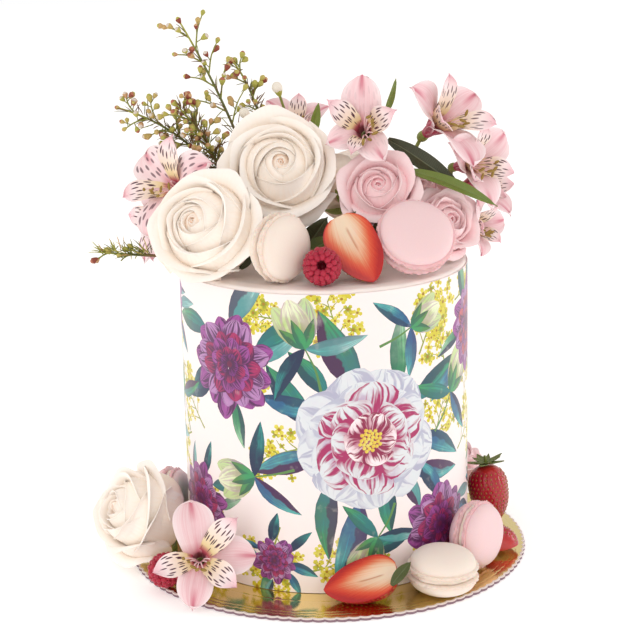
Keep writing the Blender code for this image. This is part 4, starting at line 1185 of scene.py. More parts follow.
# Whorls from the heart out: petals, lip radius, height and belly as shares of the bloom, half width in
# degrees, spiral tuck, roll of the lip in degrees, its length as a share of the radius, the shoulders' drop.
# Inner petals close over the heart, so that their backs show; outer ones open and roll over
FULL_ROSE = (
    (2, 0.02, 0.94, 0.09, 150, 0.30, 10, 0.01, 0.04), (3, 0.07, 0.96, 0.17, 122, 0.34, 14, 0.02, 0.06),
    (3, 0.16, 1.00, 0.27, 106, 0.26, 26, 0.04, 0.14), (3, 0.28, 0.99, 0.40, 94, 0.20, 45, 0.07, 0.24),
    (3, 0.43, 0.95, 0.53, 86, 0.16, 60, 0.10, 0.30), (3, 0.58, 0.86, 0.63, 80, 0.12, 75, 0.16, 0.36),
    (3, 0.71, 0.73, 0.72, 74, 0.10, 88, 0.21, 0.42), (4, 0.79, 0.57, 0.76, 60, 0.08, 105, 0.25, 0.46),
)
SMALL_ROSE = (
    (2, 0.03, 0.93, 0.11, 150, 0.30, 10, 0.01, 0.04), (3, 0.09, 0.95, 0.21, 120, 0.34, 16, 0.03, 0.08),
    (3, 0.21, 0.99, 0.34, 102, 0.26, 35, 0.06, 0.16), (3, 0.38, 1.00, 0.49, 90, 0.19, 55, 0.10, 0.26),
    (3, 0.60, 0.92, 0.66, 80, 0.13, 72, 0.18, 0.34), (3, 0.78, 0.76, 0.74, 72, 0.10, 90, 0.28, 0.38),
    (3, 0.84, 0.58, 0.78, 66, 0.08, 110, 0.32, 0.40),
)
SMALL_RADIUS = 25 * MM
FULL_GRID, SMALL_GRID = (18, 17), (15, 15)
LIP_AT = 0.80
RUFFLED = {"rose_pink_right": 2.2, "rose_pink_inner": 1.8, "rose_pink_front": 1.3}
# Depth of the hip under a bloom in mm
HIP_DEPTH = 7.5
ROSE_STEM = 1.9 * MM


def rose_petal_grid(radius, depth, whorl, azimuth, ruffle, draw, t, u):
    """One petal: cupped round its belly, ending in a lip that rolls outwards, with rounded shoulders."""
    reach, height, belly, half, tuck, roll, roll_length, drop = whorl[1:]
    skew = draw.uniform(-0.35, 0.35)
    body = np.clip(t / LIP_AT, 0, 1) * (1 - drop * np.abs(u + skew * (1 - u * u)) ** 2.6)
    rolled = np.clip((t - LIP_AT) / (1 - LIP_AT), 0, 1)
    reach = reach * draw.uniform(0.93, 1.07)
    height = height * draw.uniform(0.94, 1.03)
    line = curve_points([(0.09, 0.0), (0.05 + 0.80 * belly, 0.16 * height), (belly, 0.52 * height),
                         (belly + 0.28 * (reach - belly), 0.82 * height), (reach, height)], 60)

    def on_line(place):
        steps = np.linspace(0, 1, 60)
        return radius * np.interp(place, steps, line[:, 0]), depth * np.interp(place, steps, line[:, 1])

    r, z = on_line(body)
    (r_ahead, z_ahead), (r_behind, z_behind) = on_line(np.minimum(body + 0.03, 1)), on_line(body - 0.05)
    lean = np.arctan2(r_ahead - r_behind, z_ahead - z_behind)
    turn = math.radians(roll) * draw.uniform(0.7, 1.15) * (1 - 0.3 * np.abs(u) ** 3)
    length = roll_length * radius * (1 + 0.35 * np.exp(-((u + skew) / 0.2) ** 2) - 0.25 * np.abs(u) ** 2)
    r = r + length / turn * (np.cos(lean) - np.cos(lean + turn * rolled))
    z = z + length / turn * (np.sin(lean + turn * rolled) - np.sin(lean))
    phase = draw.uniform(0, math.tau)
    wave = 0.016 * ruffle * radius * smooth(t, 0.35, 1.0) * (0.3 + reach)
    r = r + wave * np.sin(2.6 * u + phase) + 0.45 * ruffle * wave * np.sin(6.5 * u + 2 * phase)
    z = z + 0.8 * wave * np.sin(3.7 * u + 1.7 * phase)
    if ruffle > 1.5:
        r = r + 0.35 * wave * np.sin(15 * u + phase)
    r = r * (1 + tuck * u * smooth(t, 0.05, 0.5))
    r = r + 0.04 * radius * reach * np.abs(u) ** 5 * smooth(t, 0.4, 1.0)
    fan = np.radians(half) * draw.uniform(0.94, 1.06) * (0.42 + 0.58 * smooth(t, 0.0, 0.55))
    return turned(r, 0 * r, z, azimuth + u * fan)


def rose_parts(radius, depth, ruffle, seed):
    """A bloom standing on its local origin."""
    draw = random.Random(seed)
    whorls, grid_size = (SMALL_ROSE, SMALL_GRID) if radius < SMALL_RADIUS else (FULL_ROSE, FULL_GRID)
    t, u = span(*grid_size)
    parts = []
    turn = draw.uniform(0, math.tau)
    off_centre = np.array([0.05 * radius * f(draw.uniform(0, math.tau)) for f in (math.cos, math.sin)])
    for row, whorl in enumerate(whorls):
        # Petals are fleshy low down, and thin out towards the lip
        body = sizes().petal_thick * (1.1 - 0.5 * t)
        if row < len(whorls) - 1:
            body = body + 0.19 * radius * (1 - smooth(t, 0.42, 0.90)) * smooth(t, 0.0, 0.3)
        heart = (1 - row / (len(whorls) - 1)) ** 1.4
        count = whorl[0]
        turn += math.pi / count + draw.uniform(-0.2, 0.2)
        for number in range(count):
            azimuth = turn + math.tau * (number + draw.uniform(-0.06, 0.06)) / count
            grid = rose_petal_grid(radius, depth, whorl, azimuth, ruffle, draw, t, u)
            # The heart sits a little off the middle
            grid[..., :2] += off_centre * ((grid[..., 2:] / depth) ** 2 * (1 - whorl[1]))
            parts.append(sheet_part(grid, body, along=t, across=u, depth=heart * (1.0 - 0.35 * t)))
    return parts


def rose_greens(radius):
    """The hip under the petals and its five sepals."""
    hip = ((0, 3.0), (3.2, 2.6), (4.8, 0.5), (4.6, -2.6), (3.2, -5.6), (2.0, -HIP_DEPTH), (0, -HIP_DEPTH))
    parts = [lathe_part(np.array(hip) * MM, 20, 1)]
    t, u = span(14, 7)
    half = 2.9 * MM * np.sin(math.pi * np.clip(t, 0.04, 1) ** 0.7) ** 0.8 + 0.1 * MM
    reach = 4.0 * MM + 0.52 * radius * t
    drop = -1.0 * MM - 0.10 * radius * np.sin(2.4 * t) + 0.10 * radius * t * t + 0.2 * half * np.abs(u)
    for leaf in range(5):
        parts.append(sheet_part(turned(reach, u * half, drop, math.tau * leaf / 5 + 0.4), 0.5 * MM, 1))
    return parts


def stem_part(matrix, start_depth, foot, surface, radius, number):
    """A stem in the flower's own frame, from under the bloom down to what it stands on."""
    base = matrix @ Vector((0, 0, -start_depth))
    end = Vector((foot[0] * MM, foot[1] * MM, surface + GAP))
    middle = base.lerp(end, 0.45)
    middle.xy = base.xy.lerp(end.xy, 0.75)
    inverse = matrix.inverted()
    return tube_part(curve_points([inverse @ base, inverse @ middle, inverse @ end], 16), radius, 10, number)


class MakeRoses(bpy.types.Operator):
    """Makes the cream and the pink roses"""

    bl_idname = "cake.roses"
    bl_label = "Roses"

    def execute(self, context):
        tone = colours()
        skins = {"cream": rose_petal("rose_petal_cream", tone.cream, tone.cream_heart),
                 "pink": rose_petal("rose_petal_pink", tone.pink, tone.pink_heart)}
        green = grained("green_stem")
        for seed, (name, (kind, place, facing, roll, radius, depth, foot)) in enumerate(ROSES.items()):
            matrix = turn_to(place, facing, roll)
            parts = rose_parts(radius * MM, depth * MM, RUFFLED.get(name, 1.0), seed + 3)
            parts += rose_greens(radius * MM)
            if foot:
                surface = BOARD_TOP if name in BASE_FLOWERS else CAKE_TOP
                parts.append(stem_part(matrix, HIP_DEPTH * 0.5 * MM, foot, surface, ROSE_STEM, 1))
            piece(name, moved(parts, matrix), [skins[kind], green], kind + "_petal", name, crease=70.0)
        return {"FINISHED"}


# Lilies

LILY_STEM = 1.2 * MM
FILAMENTS = 7
ANTHERS = 6


def tepal_centre(length, opening, share, broad):
    """The middle line of a tepal from the foot of its tube to its tip, as (reach, height), and its size."""
    tilt = math.radians(opening + (10 if broad else -12))
    size = length * share * (1.0 if broad else 0.93)
    line = [(0.09 * length, -0.42 * length), (0.13 * length, -0.20 * length), (0.15 * length, -0.03 * length)]
    for t in (0.2, 0.4, 0.6, 0.8, 0.93, 1.0):
        rise = t * math.cos(tilt) + 0.10 * math.sin(math.pi * t) - 0.05 * t**6
        line.append(((0.13 + t * math.sin(tilt)) * size, rise * size))
    return curve_points(line, 28), size


def tepal_part(length, opening, azimuth, share, broad, streaks, draw):
    """One tepal, cupped and waved, with a blunt tip that ends in a small point."""
    line, size = tepal_centre(length, opening, share, broad)
    steps = np.linalg.norm(np.diff(line, axis=0), axis=1)
    along = np.concatenate([[0], np.cumsum(steps)]) / steps.sum()
    u = np.linspace(-1, 1, 15)[None, :]
    widest, blunt, full = (0.375, 0.47, 1.75) if broad else (0.24, 0.60, 2.2)
    half = size * (0.055 * (1 - along) + widest * np.sin(math.pi * along**full) ** blunt)[:, None]
    # The end is bowed back a little at its sides, and drawn out in the middle
    back = 0.05 * np.abs(u) ** 2 - 0.02 * np.exp(-(u / 0.14) ** 2)
    s = along[:, None] - smooth(along, 0.6, 1.0)[:, None] * back
    tangent = np.gradient(line, axis=0)
    tangent /= np.linalg.norm(tangent, axis=1, keepdims=True)
    beyond = np.maximum(s - 1, 0) * steps.sum()
    phase = draw.uniform(0, math.tau)
    free = smooth(s, 0.3, 0.6)
    lift = 0.22 * half * smooth(s, 0.05, 0.5) * np.abs(u) ** 1.7
    lift = lift - 0.016 * size * free * np.exp(-(u / 0.2) ** 2)
    lift = lift + 0.05 * size * free * np.abs(u) ** 2.2 * np.sin(8 * s + phase + 1.3 * np.sign(u))
    r = np.interp(s, along, line[:, 0]) - np.interp(s, along, tangent[:, 1]) * lift + beyond * tangent[-1, 0]
    z = np.interp(s, along, line[:, 1]) + np.interp(s, along, tangent[:, 0]) * lift + beyond * tangent[-1, 1]
    # Inside the tube the tepals close to a round wall
    wrap = 1 - smooth(s, 0.1, 0.4)
    bowed = np.sqrt(np.maximum(r**2 - np.minimum(np.abs(half * u), 0.98 * r) ** 2, 0))
    r = r * (1 - wrap) + bowed * wrap
    dark = 1.9 * max(0.0, streaks - 0.5) if broad else min(1.0, streaks + 0.6)
    flush = 0.45 if broad and streaks <= 0.5 else 0.0
    return sheet_part(turned(r, half * u, z, azimuth), sizes().tepal_thick, along=s,
                      across=np.broadcast_to(u, r.shape), narrow=0.0 if broad else 1.0, streaks=dark,
                      shade=draw.uniform(0, 0.5) + flush)


def stamen_parts(length, draw):
    """Six thin filaments with their anthers, and the style."""
    parts = []
    for number in range(FILAMENTS):
        azimuth = math.radians(200 + 23 * number) + draw.uniform(-0.1, 0.1)
        reach = length * draw.uniform(0.22, 0.36)
        lift = length * draw.uniform(0.36, 0.52)
        route = ((0.02 * length, -0.42 * length), (0.10 * length, 0.05 * length),
                 (reach * 0.7, lift * 0.75), (reach, lift))
        line = curve_points([(r * math.cos(azimuth), r * math.sin(azimuth), z) for r, z in route], 12)
        parts.append(tube_part(line, np.linspace(0.5, 0.38, 12) * MM, 6, 0, along=0.5))
        if number < ANTHERS:
            tilt = Matrix.Rotation(draw.uniform(0, math.pi), 3, "Z")
            tilt @= Matrix.Rotation(draw.uniform(0.3, 1.3), 3, "X")
            parts.append(ball_part(line[-1], (1.0 * MM, 0.85 * MM, 2.5 * MM), tilt, 2, 1))
    return parts


class MakeLilies(bpy.types.Operator):
    """Makes the Peruvian lilies with their stamens and stems"""

    bl_idname = "cake.lilies"
    bl_label = "Peruvian Lilies"

    def execute(self, context):
        tone = colours()
        petal = lily_tepal("lily_tepal", tone.lily, tone.lily_deep)
        looks = [petal, grained("pollen"), grained("green_stem")]
        for seed, (name, (place, facing, roll, size, opening, foot, streaks)) in enumerate(LILIES.items()):
            draw = random.Random(40 + seed)
            matrix = turn_to(place, facing, roll)
            length = size * MM
            parts = [tepal_part(length, opening, math.radians(azimuth), share, number % 2 == 0, streaks, draw)
                     for number, (azimuth, share) in enumerate(SPREADS.get(name, EVEN_SPREAD))]
            parts += stamen_parts(length, draw)
            ovary = (0.105 * length, 0.105 * length, 0.14 * length)
            parts.append(ball_part((0, 0, -0.52 * length), ovary, None, 3, 2))
            if foot:
                parts.append(stem_part(matrix, 0.58 * length, foot, CAKE_TOP, LILY_STEM, 2))
            piece(name, moved(parts, matrix), looks, "lily_petal", name, crease=70.0)
        return {"FINISHED"}


# Macarons

FILLING = 3.2 * MM
SHELL_FOOT = 2.4 * MM
FRILL_ROWS = 8


def shell_part(radius, dome, seed):
    """One shell on local +Z: a smooth dome over a ruffled foot, flat where the filling holds it."""
    low = FILLING / 2 + GAP
    foot_top = low + SHELL_FOOT
    profile = [(0, foot_top + dome)]
    for a in np.linspace(0, math.pi / 2, 20)[1:]:
        profile.append((radius * 0.93 * math.sin(a) ** 0.86, foot_top + dome * math.cos(a) ** 0.92))
    profile += [(0.926 * radius, foot_top - 0.15 * MM), (0.922 * radius, foot_top - 0.35 * MM)]
    first, after = len(profile) - 1, len(profile) - 1 + FRILL_ROWS
    profile += [(0.990 * radius, foot_top - s * SHELL_FOOT) for s in np.linspace(0.22, 0.94, FRILL_ROWS)]
    profile += [(share * radius, low) for share in (0.95, 0.6, 0.2, 0)]
    foot = np.zeros((len(profile) - 2, 1))
    foot[first - 1:after] = 1.0

    def ruffle(angle, r, z):
        swell = np.zeros(r.shape)
        for row in range(first, after):
            for side, a in enumerate(angle[0]):
                far = radius / MM * 0.55
                at = Vector((math.cos(a) * far, math.sin(a) * far, z[row, 0] / MM * 0.8))
                coarse, fine = noise.noise(at + Vector((0, 0, seed * 7.3))), noise.noise(at * 2.3)
                swell[row, side] = 1.6 * coarse + 0.6 * fine
        uneven = 0.012 * radius * np.sin(2 * angle + seed) + 0.006 * radius * np.sin(5 * angle + 2 * seed)
        return r + swell * sizes().frill + uneven * (r / radius), z

    return lathe_part(profile, 150, swell=ruffle, foot=foot)


def filling_part(radius, seed):
    """The filling, pressed out a little unevenly between the shells."""
    half = FILLING / 2
    edge = [(radius * (0.87 + 0.045 * (1 - s * s)), -s * half) for s in np.linspace(-1, 1, 9)]

    def pressed(angle, r, z):
        wave = 0.014 * np.sin(3 * angle + seed) + 0.012 * np.sin(7 * angle + 2 * seed)
        wave = wave + 0.010 * np.sin(13 * angle)
        return r + radius * wave, z

    return lathe_part([(0, half), *edge, (0, -half)], 120, swell=pressed)


class MakeMacarons(bpy.types.Operator):
    """Makes the cream and pink macarons, each of two shells and a filling"""

    bl_idname = "cake.macarons"
    bl_label = "Macarons"

    def execute(self, context):
        tone = colours()
        looks = {"cream": almond_shell("almond_shell_cream", tone.cream_shell, 1.2),
                 "pink": almond_shell("almond_shell_pink", tone.pink_shell, 1.5)}
        soft = grained("soft_filling")
        for seed, (name, (kind, place, axis, radius, dome)) in enumerate(MACARONS.items()):
            matrix = turn_to(place, axis)
            for number, side in enumerate(("front", "back")):
                shell = shell_part(radius * MM, dome * MM, seed * 2 + number + 1)
                node = f"{name}_{side}"
                faced = matrix @ Matrix.Rotation(math.pi * number, 4, "X")
                piece(node, moved([shell], faced), [looks[kind]], kind + "_shell", node, crease=80.0)
            node = name + "_filling"
            filling = moved([filling_part(radius * MM, seed)], matrix)
            piece(node, filling, [soft], "filling", node, crease=60.0)
        return {"FINISHED"}


# Strawberries

SHOULDER = 0.32
BERRY_ROWS = 96
SKIN, FLESH, SEED = range(3)


def berry_radius(t):
    """The berry's radius at t from shoulder to tip, as a share of its widest."""
    t = np.asarray(t, float)
    shoulder = np.sqrt(np.clip(1 - ((SHOULDER - t) / 0.33) ** 2, 0, 1))
    taper = np.cos(math.pi / 2 * np.clip((t - SHOULDER) / (1 - SHOULDER), 0, 1) ** 1.40) ** 0.70
    return np.where(t < SHOULDER, shoulder, taper)


def seed_places(radius, length, half):
    """Where the seeds sit, as (angle, t), spaced evenly up the skin."""
    gap = sizes().seed_gap
    rows = int(length / (gap * 0.86))
    for row in range(1, rows):
        t = 0.04 + 0.93 * row / rows
        count = max(3, round(math.tau * radius * float(berry_radius(t)) / gap))
        for number in range(count):
            angle = math.tau * (number + 0.5 * (row % 2)) / count
            if not half or math.sin(angle) < -0.06:
                yield angle, t


def cut_face(outer, t):
    """The cut face of a half, from the skin's last column back to its first, hollowed at the core."""
    u = np.linspace(1, -1, 45)[1:-1]
    share = (u[None, :, None] + 1) / 2
    face = outer[:, :1] * (1 - share) + outer[:, -1:] * share
    dip = np.exp(-((u / 0.28) ** 2) - ((t[:, None] - 0.36) / 0.22) ** 2)
    face[..., 1] += 0.5 * MM * (1 - u**2) - 0.9 * MM * dip
    return face


def berry_parts(radius, length, half, seed):
    """A strawberry, tip at the local origin, seeds in their dimples; a half has its cut face at +Y."""
    draw = random.Random(seed)
    t = np.linspace(0.012, 0.985, BERRY_ROWS)
    skin = np.linspace(math.pi, math.tau, 73) if half else math.tau * np.arange(132) / 132
    angle, tt = np.meshgrid(skin, t)
    seeds = list(seed_places(radius, length, half))

    def bend(place):
        return 0.01 * length * np.sin(3.0 * place + seed)

    dimples = np.zeros_like(angle)
    for a, p in seeds:
        off = np.angle(np.exp(1j * (angle - a))) * float(berry_radius(p)) * radius
        dimples -= np.exp(-(off**2 + ((tt - p) * length * 0.8) ** 2) / (1.05 * MM) ** 2)
    if half:
        dimples *= smooth(np.minimum(angle - math.pi, math.tau - angle), 0.0, 0.15)
    r = radius * berry_radius(tt) + 0.55 * MM * dimples + radius * 0.02 * np.sin(3 * angle + 4 * tt + seed)
    rings = np.stack([r * np.cos(angle) + bend(tt), r * np.sin(angle), length * (1 - tt)], -1)
    told = {"along": (1 - t)[::-1, None], "core": 0.0, "fan": 0.0, "seam": 0.0}
    if half:
        rings = np.concatenate([rings, cut_face(rings, t)], axis=1)
        x, z = (rings[..., 0] - bend(t)[:, None]) / radius, t[:, None]
        far = np.abs(x) / np.maximum(berry_radius(z), 0.05)
        core = np.clip(far**1.7 * (0.60 + 0.40 * z) + 0.70 * z**1.8 - 0.06 * (1 - z), 0, 1.2)
        seam = 0.8 * np.exp(-((x + 0.05) / 0.035) ** 2) * smooth(z, 0.16, 0.24) * (1 - smooth(z, 0.46, 0.58))
        told["core"] = np.maximum(core, smooth(far, 0.86, 1.0))[::-1]
        told["fan"] = (np.arctan2(x, z + 0.35) / math.pi * 2)[::-1]
        told["seam"] = seam[::-1]
    rings = rings[::-1]
    top = (rings[-1][:, 0].mean(), rings[-1][:, 1].mean(), length)
    points, faces, values = ring_part(rings, SKIN, (0, -0.001 * radius if half else 0, 0), top, **told)
    if half:
        wall = faces[0][0]
        flesh = np.tile(np.arange(rings.shape[1]), len(wall) // rings.shape[1]) >= len(skin) - 1
        faces = [(wall[~flesh], SKIN), (wall[flesh], FLESH)] + faces[1:]
    parts = [(points, faces, values)]
    for a, p in seeds:
        out = float(berry_radius(p)) * radius - 0.28 * MM
        centre = (out * math.cos(a) + bend(p), out * math.sin(a), length * (1 - p))
        fall = float(berry_radius(min(p + 0.02, 1)) - berry_radius(p - 0.02))
        slope = math.atan2(radius * fall, 0.04 * length)
        tilt = Matrix.Rotation(a, 3, "Z") @ Matrix.Rotation(-slope, 3, "Y")
        tilt @= Matrix.Rotation(draw.uniform(-0.2, 0.2), 3, "X")
        parts.append(ball_part(centre, (0.38 * MM, 0.52 * MM, 0.85 * MM), tilt, 1, SEED, along=0.5))
    return parts


def calyx_parts():
    """The green star: long and short pointed leaves that curl up, and a short stalk."""
    parts = []
    t, u = span(14, 7)
    for leaf in range(10):
        long, wide, low = ((13.5, 2.9, 0.9), (9.0, 2.0, 1.4))[leaf % 2]
        half = wide * MM * np.sin(math.pi * np.clip(t * 0.92 + 0.07, 0, 1) ** 0.8)
        rise = low * MM + 2.4 * MM * t**2 + 0.5 * MM * np.abs(u)
        grid = turned((0.8 + long * t) * MM, u * half, rise, math.tau * leaf / 10)
        parts.append(sheet_part(grid, 0.4 * MM, along=t, across=u, young=0.35))
    stalk = curve_points([(0, 0, 0.3 * MM), (0, 0.1 * MM, 3.0 * MM), (0.3 * MM, 0.2 * MM, 6.2 * MM)], 10)
    parts.append(tube_part(stalk, np.linspace(1.2, 0.8, 10) * MM, 10, along=0.5, across=0.5, young=0.6))
    return parts


# Raspberries

# The raspberry's wall and its hollow, as (radius, height) in shares of its size
BERRY_WALL = ((0.30, -0.84), (0.60, -0.62), (0.80, -0.30), (0.86, 0.06), (0.80, 0.40), (0.62, 0.66),
              (0.42, 0.72))
HOLLOW = ((0, -0.70), (0.34, -0.60), (0.62, -0.30), (0.72, 0.06), (0.68, 0.38), (0.54, 0.58), (0.36, 0.62),
          (0.27, 0.50), (0.24, 0.06), (0.18, -0.20), (0, -0.28))


def raspberry_parts(radius, seed):
    """A hollow raspberry: rows of beads round a thimble, its mouth looking along local +Z."""
    draw = random.Random(seed)
    bead = sizes().drupelet
    line = curve_points(BERRY_WALL, 60)
    run = np.concatenate([[0], np.cumsum(np.linalg.norm(np.diff(line, axis=0), axis=1))])
    rows = max(4, round(run[-1] * radius / (bead * 1.55)))
    parts = [ball_part((0, 0, -0.90 * radius), (bead, bead, bead * 0.8), None, 3, shade=0.1)]
    for row in range(rows + 1):
        r, z = (float(np.interp(run[-1] * row / rows, run, line[:, k])) * radius for k in (0, 1))
        count = max(5, round(math.tau * r / (bead * 1.72)))
        for number in range(count):
            angle = math.tau * (number + 0.5 * (row % 2)) / count + draw.uniform(-0.05, 0.05)
            size = bead * draw.uniform(0.9, 1.08)
            centre = (r * math.cos(angle), r * math.sin(angle), z + draw.uniform(-0.1, 0.1) * bead)
            parts.append(ball_part(centre, (size * 1.12, size, size), Matrix.Rotation(angle, 3, "Z"), 3,
                                   shade=draw.uniform(0.0, 0.25)))

    def starred(angle, r, z):
        return r * (1 + 0.14 * np.cos(5 * angle) * (r < 0.45 * radius) * (z > 0)), z

    # The hollow's lining is painted darker, as shade in the recess
    return parts + [lathe_part(np.array(HOLLOW) * radius, 60, swell=starred, shade=0.35)]


class MakeBerries(bpy.types.Operator):
    """Makes the strawberries, cut and whole, and the raspberries"""

    bl_idname = "cake.berries"
    bl_label = "Berries"

    def execute(self, context):
        looks = [strawberry_skin(), strawberry_flesh(), grained("seed_coat")]
        for seed, (name, (tip, along, face, radius, length)) in enumerate(HALVES.items()):
            parts = berry_parts(radius * MM, length * MM, True, seed + 1)
            piece(name, moved(parts, aim(tip, along, face)), looks, "strawberry", name, crease=50.0)
        tip, along, face, radius, length = WHOLE_BERRY
        matrix = aim(tip, along, face)
        parts = berry_parts(radius * MM, length * MM, False, 7)
        piece("strawberry_whole", moved(parts, matrix), looks, "strawberry", "strawberry_whole", crease=60.0)
        top = matrix @ Matrix.Translation((0, 0, length * MM + GAP))
        leaf = leaf_blade("calyx_leaf", linear("#4A5A24"), linear("#8E9A4A"))
        piece("strawberry_calyx", moved(calyx_parts(), top), [leaf], "leaf", "strawberry_calyx", crease=70.0)
        bead = raspberry_bead()
        for seed, (name, (place, facing, radius)) in enumerate(RASPBERRIES.items()):
            parts = raspberry_parts(radius * MM, seed + 2)
            piece(name, moved(parts, turn_to(place, facing)), [bead], "raspberry", name, crease=80.0)
        return {"FINISHED"}


# Leaves and waxflower

def leaf_parts(start, end, face, width, arch, young):
    """A lance-shaped leaf from start to end, arched, folded a little along its midrib, waved at its edge."""
    start, end = Vector(start) * MM, Vector(end) * MM
    x, length, width = (end - start).normalized(), (end - start).length, width * MM
    z = Vector(face)
    z = (z - x * z.dot(x)).normalized()
    t, u = span(36, 13)
    half = width / 2 * (0.10 + 0.90 * np.sin(math.pi * np.clip(t * 0.97 + 0.02, 0, 1) ** 0.85) ** 0.9)
    half = half * (1 - smooth(t, 0.90, 1.0) * 0.93)
    rise = arch * length * 2 * t * (1 - t) + 0.25 * half * np.abs(u) + 0.03 * width * np.sin(9 * t + 2 * u)
    rise = rise - 0.02 * width * np.exp(-(u / 0.12) ** 2)
    blade = sheet_part(np.stack([t * length, u * half, rise], -1), 0.5 * MM, along=t, across=u, young=young)
    return moved([blade], Matrix.Translation(start) @ Matrix((x, z.cross(x), z)).transposed().to_4x4())


# Buds, as (radius, height) in shares of their size
BUD_CUP = ((0, -1.0), (0.28, -0.92), (0.52, -0.6), (0.74, -0.1), (0.92, 0.4), (0.98, 0.75), (0.86, 0.95),
           (0, 1.0))
BUD_PETALS = ((0, 0.6), (0.74, 0.8), (0.70, 1.15), (0.42, 1.5), (0, 1.62))
LILY_BUD = ((0, -1.0), (0.32, -0.9), (0.62, -0.4), (0.86, 0.3), (0.84, 1.0), (0.6, 1.7), (0.25, 2.1),
            (0, 2.2))
WAX_EGG = ((0, -1.0), (0.55, -0.7), (0.9, -0.1), (0.95, 0.3), (0.75, 0.85), (0.4, 1.15), (0, 1.25))


def ribbed(folds, depth):
    """The swell of folds round a bud."""
    return lambda angle, r, z: (r * (1 + depth * np.cos(folds * angle)), z)


def wax_bud(place, way, size, tone, open_tip):
    """A top-shaped bud: a ribbed cup, then five small petals shut over its mouth."""
    matrix = turn_to((0, 0, 0), way)
    matrix.translation = Vector(place)
    return moved([lathe_part(np.array(shape) * size, 15, swell=ribbed(5, 0.05), tone=shade)
                  for shape, shade in ((BUD_CUP, tone), (BUD_PETALS, open_tip))], matrix)


def needle(start, way, length, radius, tone):
    """A thin needle leaf, pointed at both ends."""
    t = np.array((0.0, 0.3, 0.7, 1.0))
    bow = np.outer(np.sin(math.pi * t) * 0.06 * length, (0.2, -0.3, 1.0))
    line = np.asarray(start) + np.outer(t * length, way) + bow
    return tube_part(line, np.array((0.6, 1.0, 0.8, 0.15)) * radius, 4, tone=tone)


# How a stem's needles differ: their share of the usual number, and where along it the first one stands
NEEDLES = {"sprig_low": (0.55, 0.45), "sprig_tall": (0.35, 0.30), "sprig_mid": (3.0, 0.16),
           "sprig_left": (1.6, 0.16), "sprig_right": (1.0, 0.16)}
BUSHY = ("sprig_mid", "sprig_left")


def sprig_parts(name, route, twigs, twig_length, seed):
    """A waxflower stem, its side twigs with a bud at each end, and its needles."""
    draw, fine = random.Random(seed), random.Random(seed + 100)
    lies_flat = name == "sprig_low"
    route = [Vector(p) * MM for p in route]

    def at(t):
        return Vector(bezier(*route, t))

    curve = bezier(*route, np.linspace(0, 1, 48))
    parts = [tube_part(curve, np.linspace(1.25, 0.55, 48) * MM, 8, tone=np.linspace(0.0, 0.62, 48) ** 1.6)]
    ends = [(at(1.0), (at(1.0) - at(0.97)).normalized())]
    for number in range(twigs):
        t = 0.52 + 0.44 * (number + 0.5) / twigs
        start = at(t)
        along = (at(t + 0.02) - start).normalized()
        side = along.cross(Vector((0.2, -1, 0.1))).normalized() * (-1) ** number
        spread = draw.uniform(0.7, 1.1)
        way = (along + side * spread + Vector((0, draw.uniform(-0.35, 0.35), 0))).normalized()
        end = start + way * twig_length * MM * draw.uniform(0.65, 1.0)
        middle = start.lerp(end, 0.5) + along * 0.08 * twig_length * MM
        twig = curve_points([start, middle, end], 12)
        parts.append(tube_part(twig, np.linspace(0.55, 0.40, 12) * MM, 6, tone=0.38))
        ends.append((end, (end - middle).normalized()))
        for side_bud in range(5 if name in BUSHY else 3):
            foot = Vector(twig[2 + 2 * side_bud])
            tilt = Vector((fine.uniform(-1, 1), fine.uniform(-0.8, 0.4), fine.uniform(-0.3, 1))).normalized()
            out = (way * 0.7 + tilt).normalized()
            tip = foot + out * fine.uniform(2.4, 4.2) * MM
            parts.append(tube_part([foot, foot.lerp(tip, 0.5), tip], 0.32 * MM, 5, tone=0.36))
            ends.append((tip, out))
    for end, way in ends[1::3] if lies_flat else ends:
        size = fine.uniform(1.45, 2.2) * MM
        tone = fine.choice((0.46, 0.50, 0.54, 0.58, 0.62, 0.66, 0.70, 0.88))
        tip_tone = fine.choice((0.50, 0.58, 0.64, 0.68, 0.80, 0.98))
        parts += wax_bud(end + way * size * 0.8, way, size, tone, tip_tone)
    share, first = NEEDLES[name]
    for _ in range(round(sizes().needles * share)):
        t = first + (0.97 - first) * fine.random() ** (1.0 if lies_flat else 2.0)
        along = (at(min(t + 0.02, 1.0)) - at(t - 0.02)).normalized()
        sag = -0.2 if lies_flat else -1.0
        tilt = Vector((fine.uniform(-1, 1), fine.uniform(-0.8, 0.8), fine.uniform(sag, 1))).normalized()
        way = (along * 0.9 + tilt).normalized()
        reach = (1.2 - 0.7 * t) * fine.uniform(8.0, 17.0) * MM
        start = at(t) + way * fine.uniform(0.0, 0.35) * reach
        radius = fine.uniform(0.30, 0.46) * MM
        tone = fine.choice((0.02, 0.05, 0.10, 0.16, 0.26, 0.38)) + (0.40 * t if lies_flat else 0)
        parts.append(needle(start, way, reach, radius, tone))
    return parts


def single_bud(name, start, end, size):
    """The closed lily bud, or a white waxflower bud in its green cup, on its stalk."""
    start, end = Vector(start) * MM, Vector(end) * MM
    way = (end - start).normalized()
    closed_lily = name == "bud_lily"
    parts = [tube_part([start, start.lerp(end, 0.5), end], 0.85 * MM, 8, 1 if closed_lily else 0, tone=0.36)]
    matrix = turn_to((0, 0, 0), way)
    if closed_lily:
        matrix.translation = end
        head = lathe_part(np.array(LILY_BUD) * size * MM, 36, swell=ribbed(3, 0.07),
                          along=np.linspace(0, 1, len(LILY_BUD) - 2)[:, None], depth=0.2)
        return parts + moved([head], matrix)
    matrix.translation = end + way * size * 0.35 * MM
    parts += moved([lathe_part(np.array(WAX_EGG) * size * MM, 20, tone=1.0)], matrix)
    return parts + wax_bud(end - way * size * 0.35 * MM, way, size * 0.80 * MM, 0.44, 1.0)


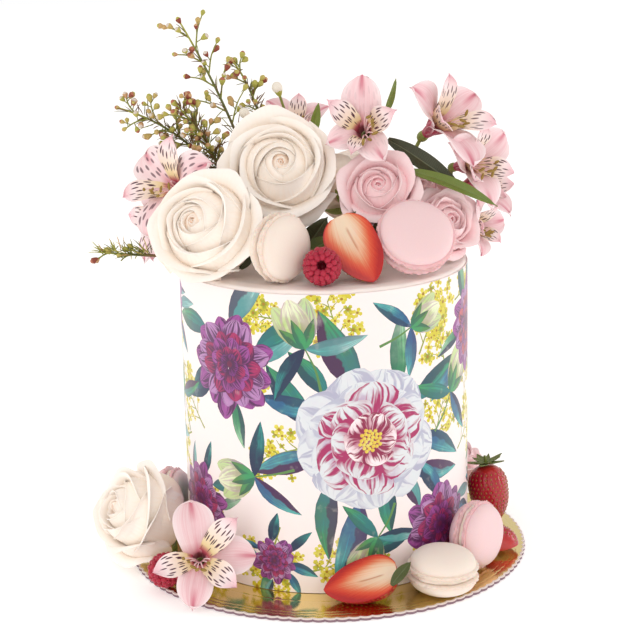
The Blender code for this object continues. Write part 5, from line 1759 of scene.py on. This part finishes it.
class MakeFoliage(bpy.types.Operator):
    """Makes the leaves, the waxflower stems and the single buds"""

    bl_idname = "cake.foliage"
    bl_label = "Leaves and Waxflower"

    def execute(self, context):
        leaf = leaf_blade("leaf_blade", linear("#2A2E12"), linear("#7F9638"))
        for name, shape in LEAVES.items():
            # The front leaf carries the dark gap leaves, whose darkness is painted shade
            shapes = (shape, *SHADOW_GAP_LEAVES) if name == "leaf_front" else (shape,)
            parts = [blade for each in shapes for blade in leaf_parts(*each)]
            piece(name, parts, [leaf], "leaf", name, crease=70.0)
        wax = waxflower_skin()
        for name, stem in SPRIGS.items():
            piece(name, sprig_parts(name, *stem), [wax], "waxflower", name, crease=60.0)
        petal = rose_petal("bud_petal", linear("#F4C3CC"), linear("#C9D08A"))
        green = grained("green_stem")
        for name, bud in BUDS.items():
            looks, slot = ([petal, green], "lily_petal") if name == "bud_lily" else ([wax], "waxflower")
            piece(name, single_bud(name, *bud), looks, slot, name, crease=70.0)
        return {"FINISHED"}


class CakePanel(bpy.types.Panel):
    """Lists what the cake is made of"""

    bl_idname = "VIEW3D_PT_cake"
    bl_label = "Wedding Cake"
    bl_space_type = "VIEW_3D"
    bl_region_type = "UI"
    bl_category = "Cake"

    def draw(self, context):
        for group in (context.scene.cake_sizes, context.scene.cake_colours):
            for key in group.bl_rna.properties.keys()[1:]:
                if key != "name":
                    self.layout.prop(group, key)
        for step in STEPS:
            self.layout.operator(step.bl_idname)


STEPS = (SetStage, MakeCake, MakeRoses, MakeLilies, MakeMacarons, MakeBerries, MakeFoliage)
CLASSES = (CakeColours, CakeSizes, *STEPS, CakePanel)


def register():
    for each in CLASSES:
        bpy.utils.register_class(each)
    bpy.types.Scene.cake_colours = PointerProperty(type=CakeColours)
    bpy.types.Scene.cake_sizes = PointerProperty(type=CakeSizes)


def unregister():
    del bpy.types.Scene.cake_sizes
    del bpy.types.Scene.cake_colours
    for each in reversed(CLASSES):
        bpy.utils.unregister_class(each)


def main():
    register()
    for step in STEPS:
        group, action = step.bl_idname.split(".")
        getattr(getattr(bpy.ops, group), action)()


if __name__ == "__main__":
    main()
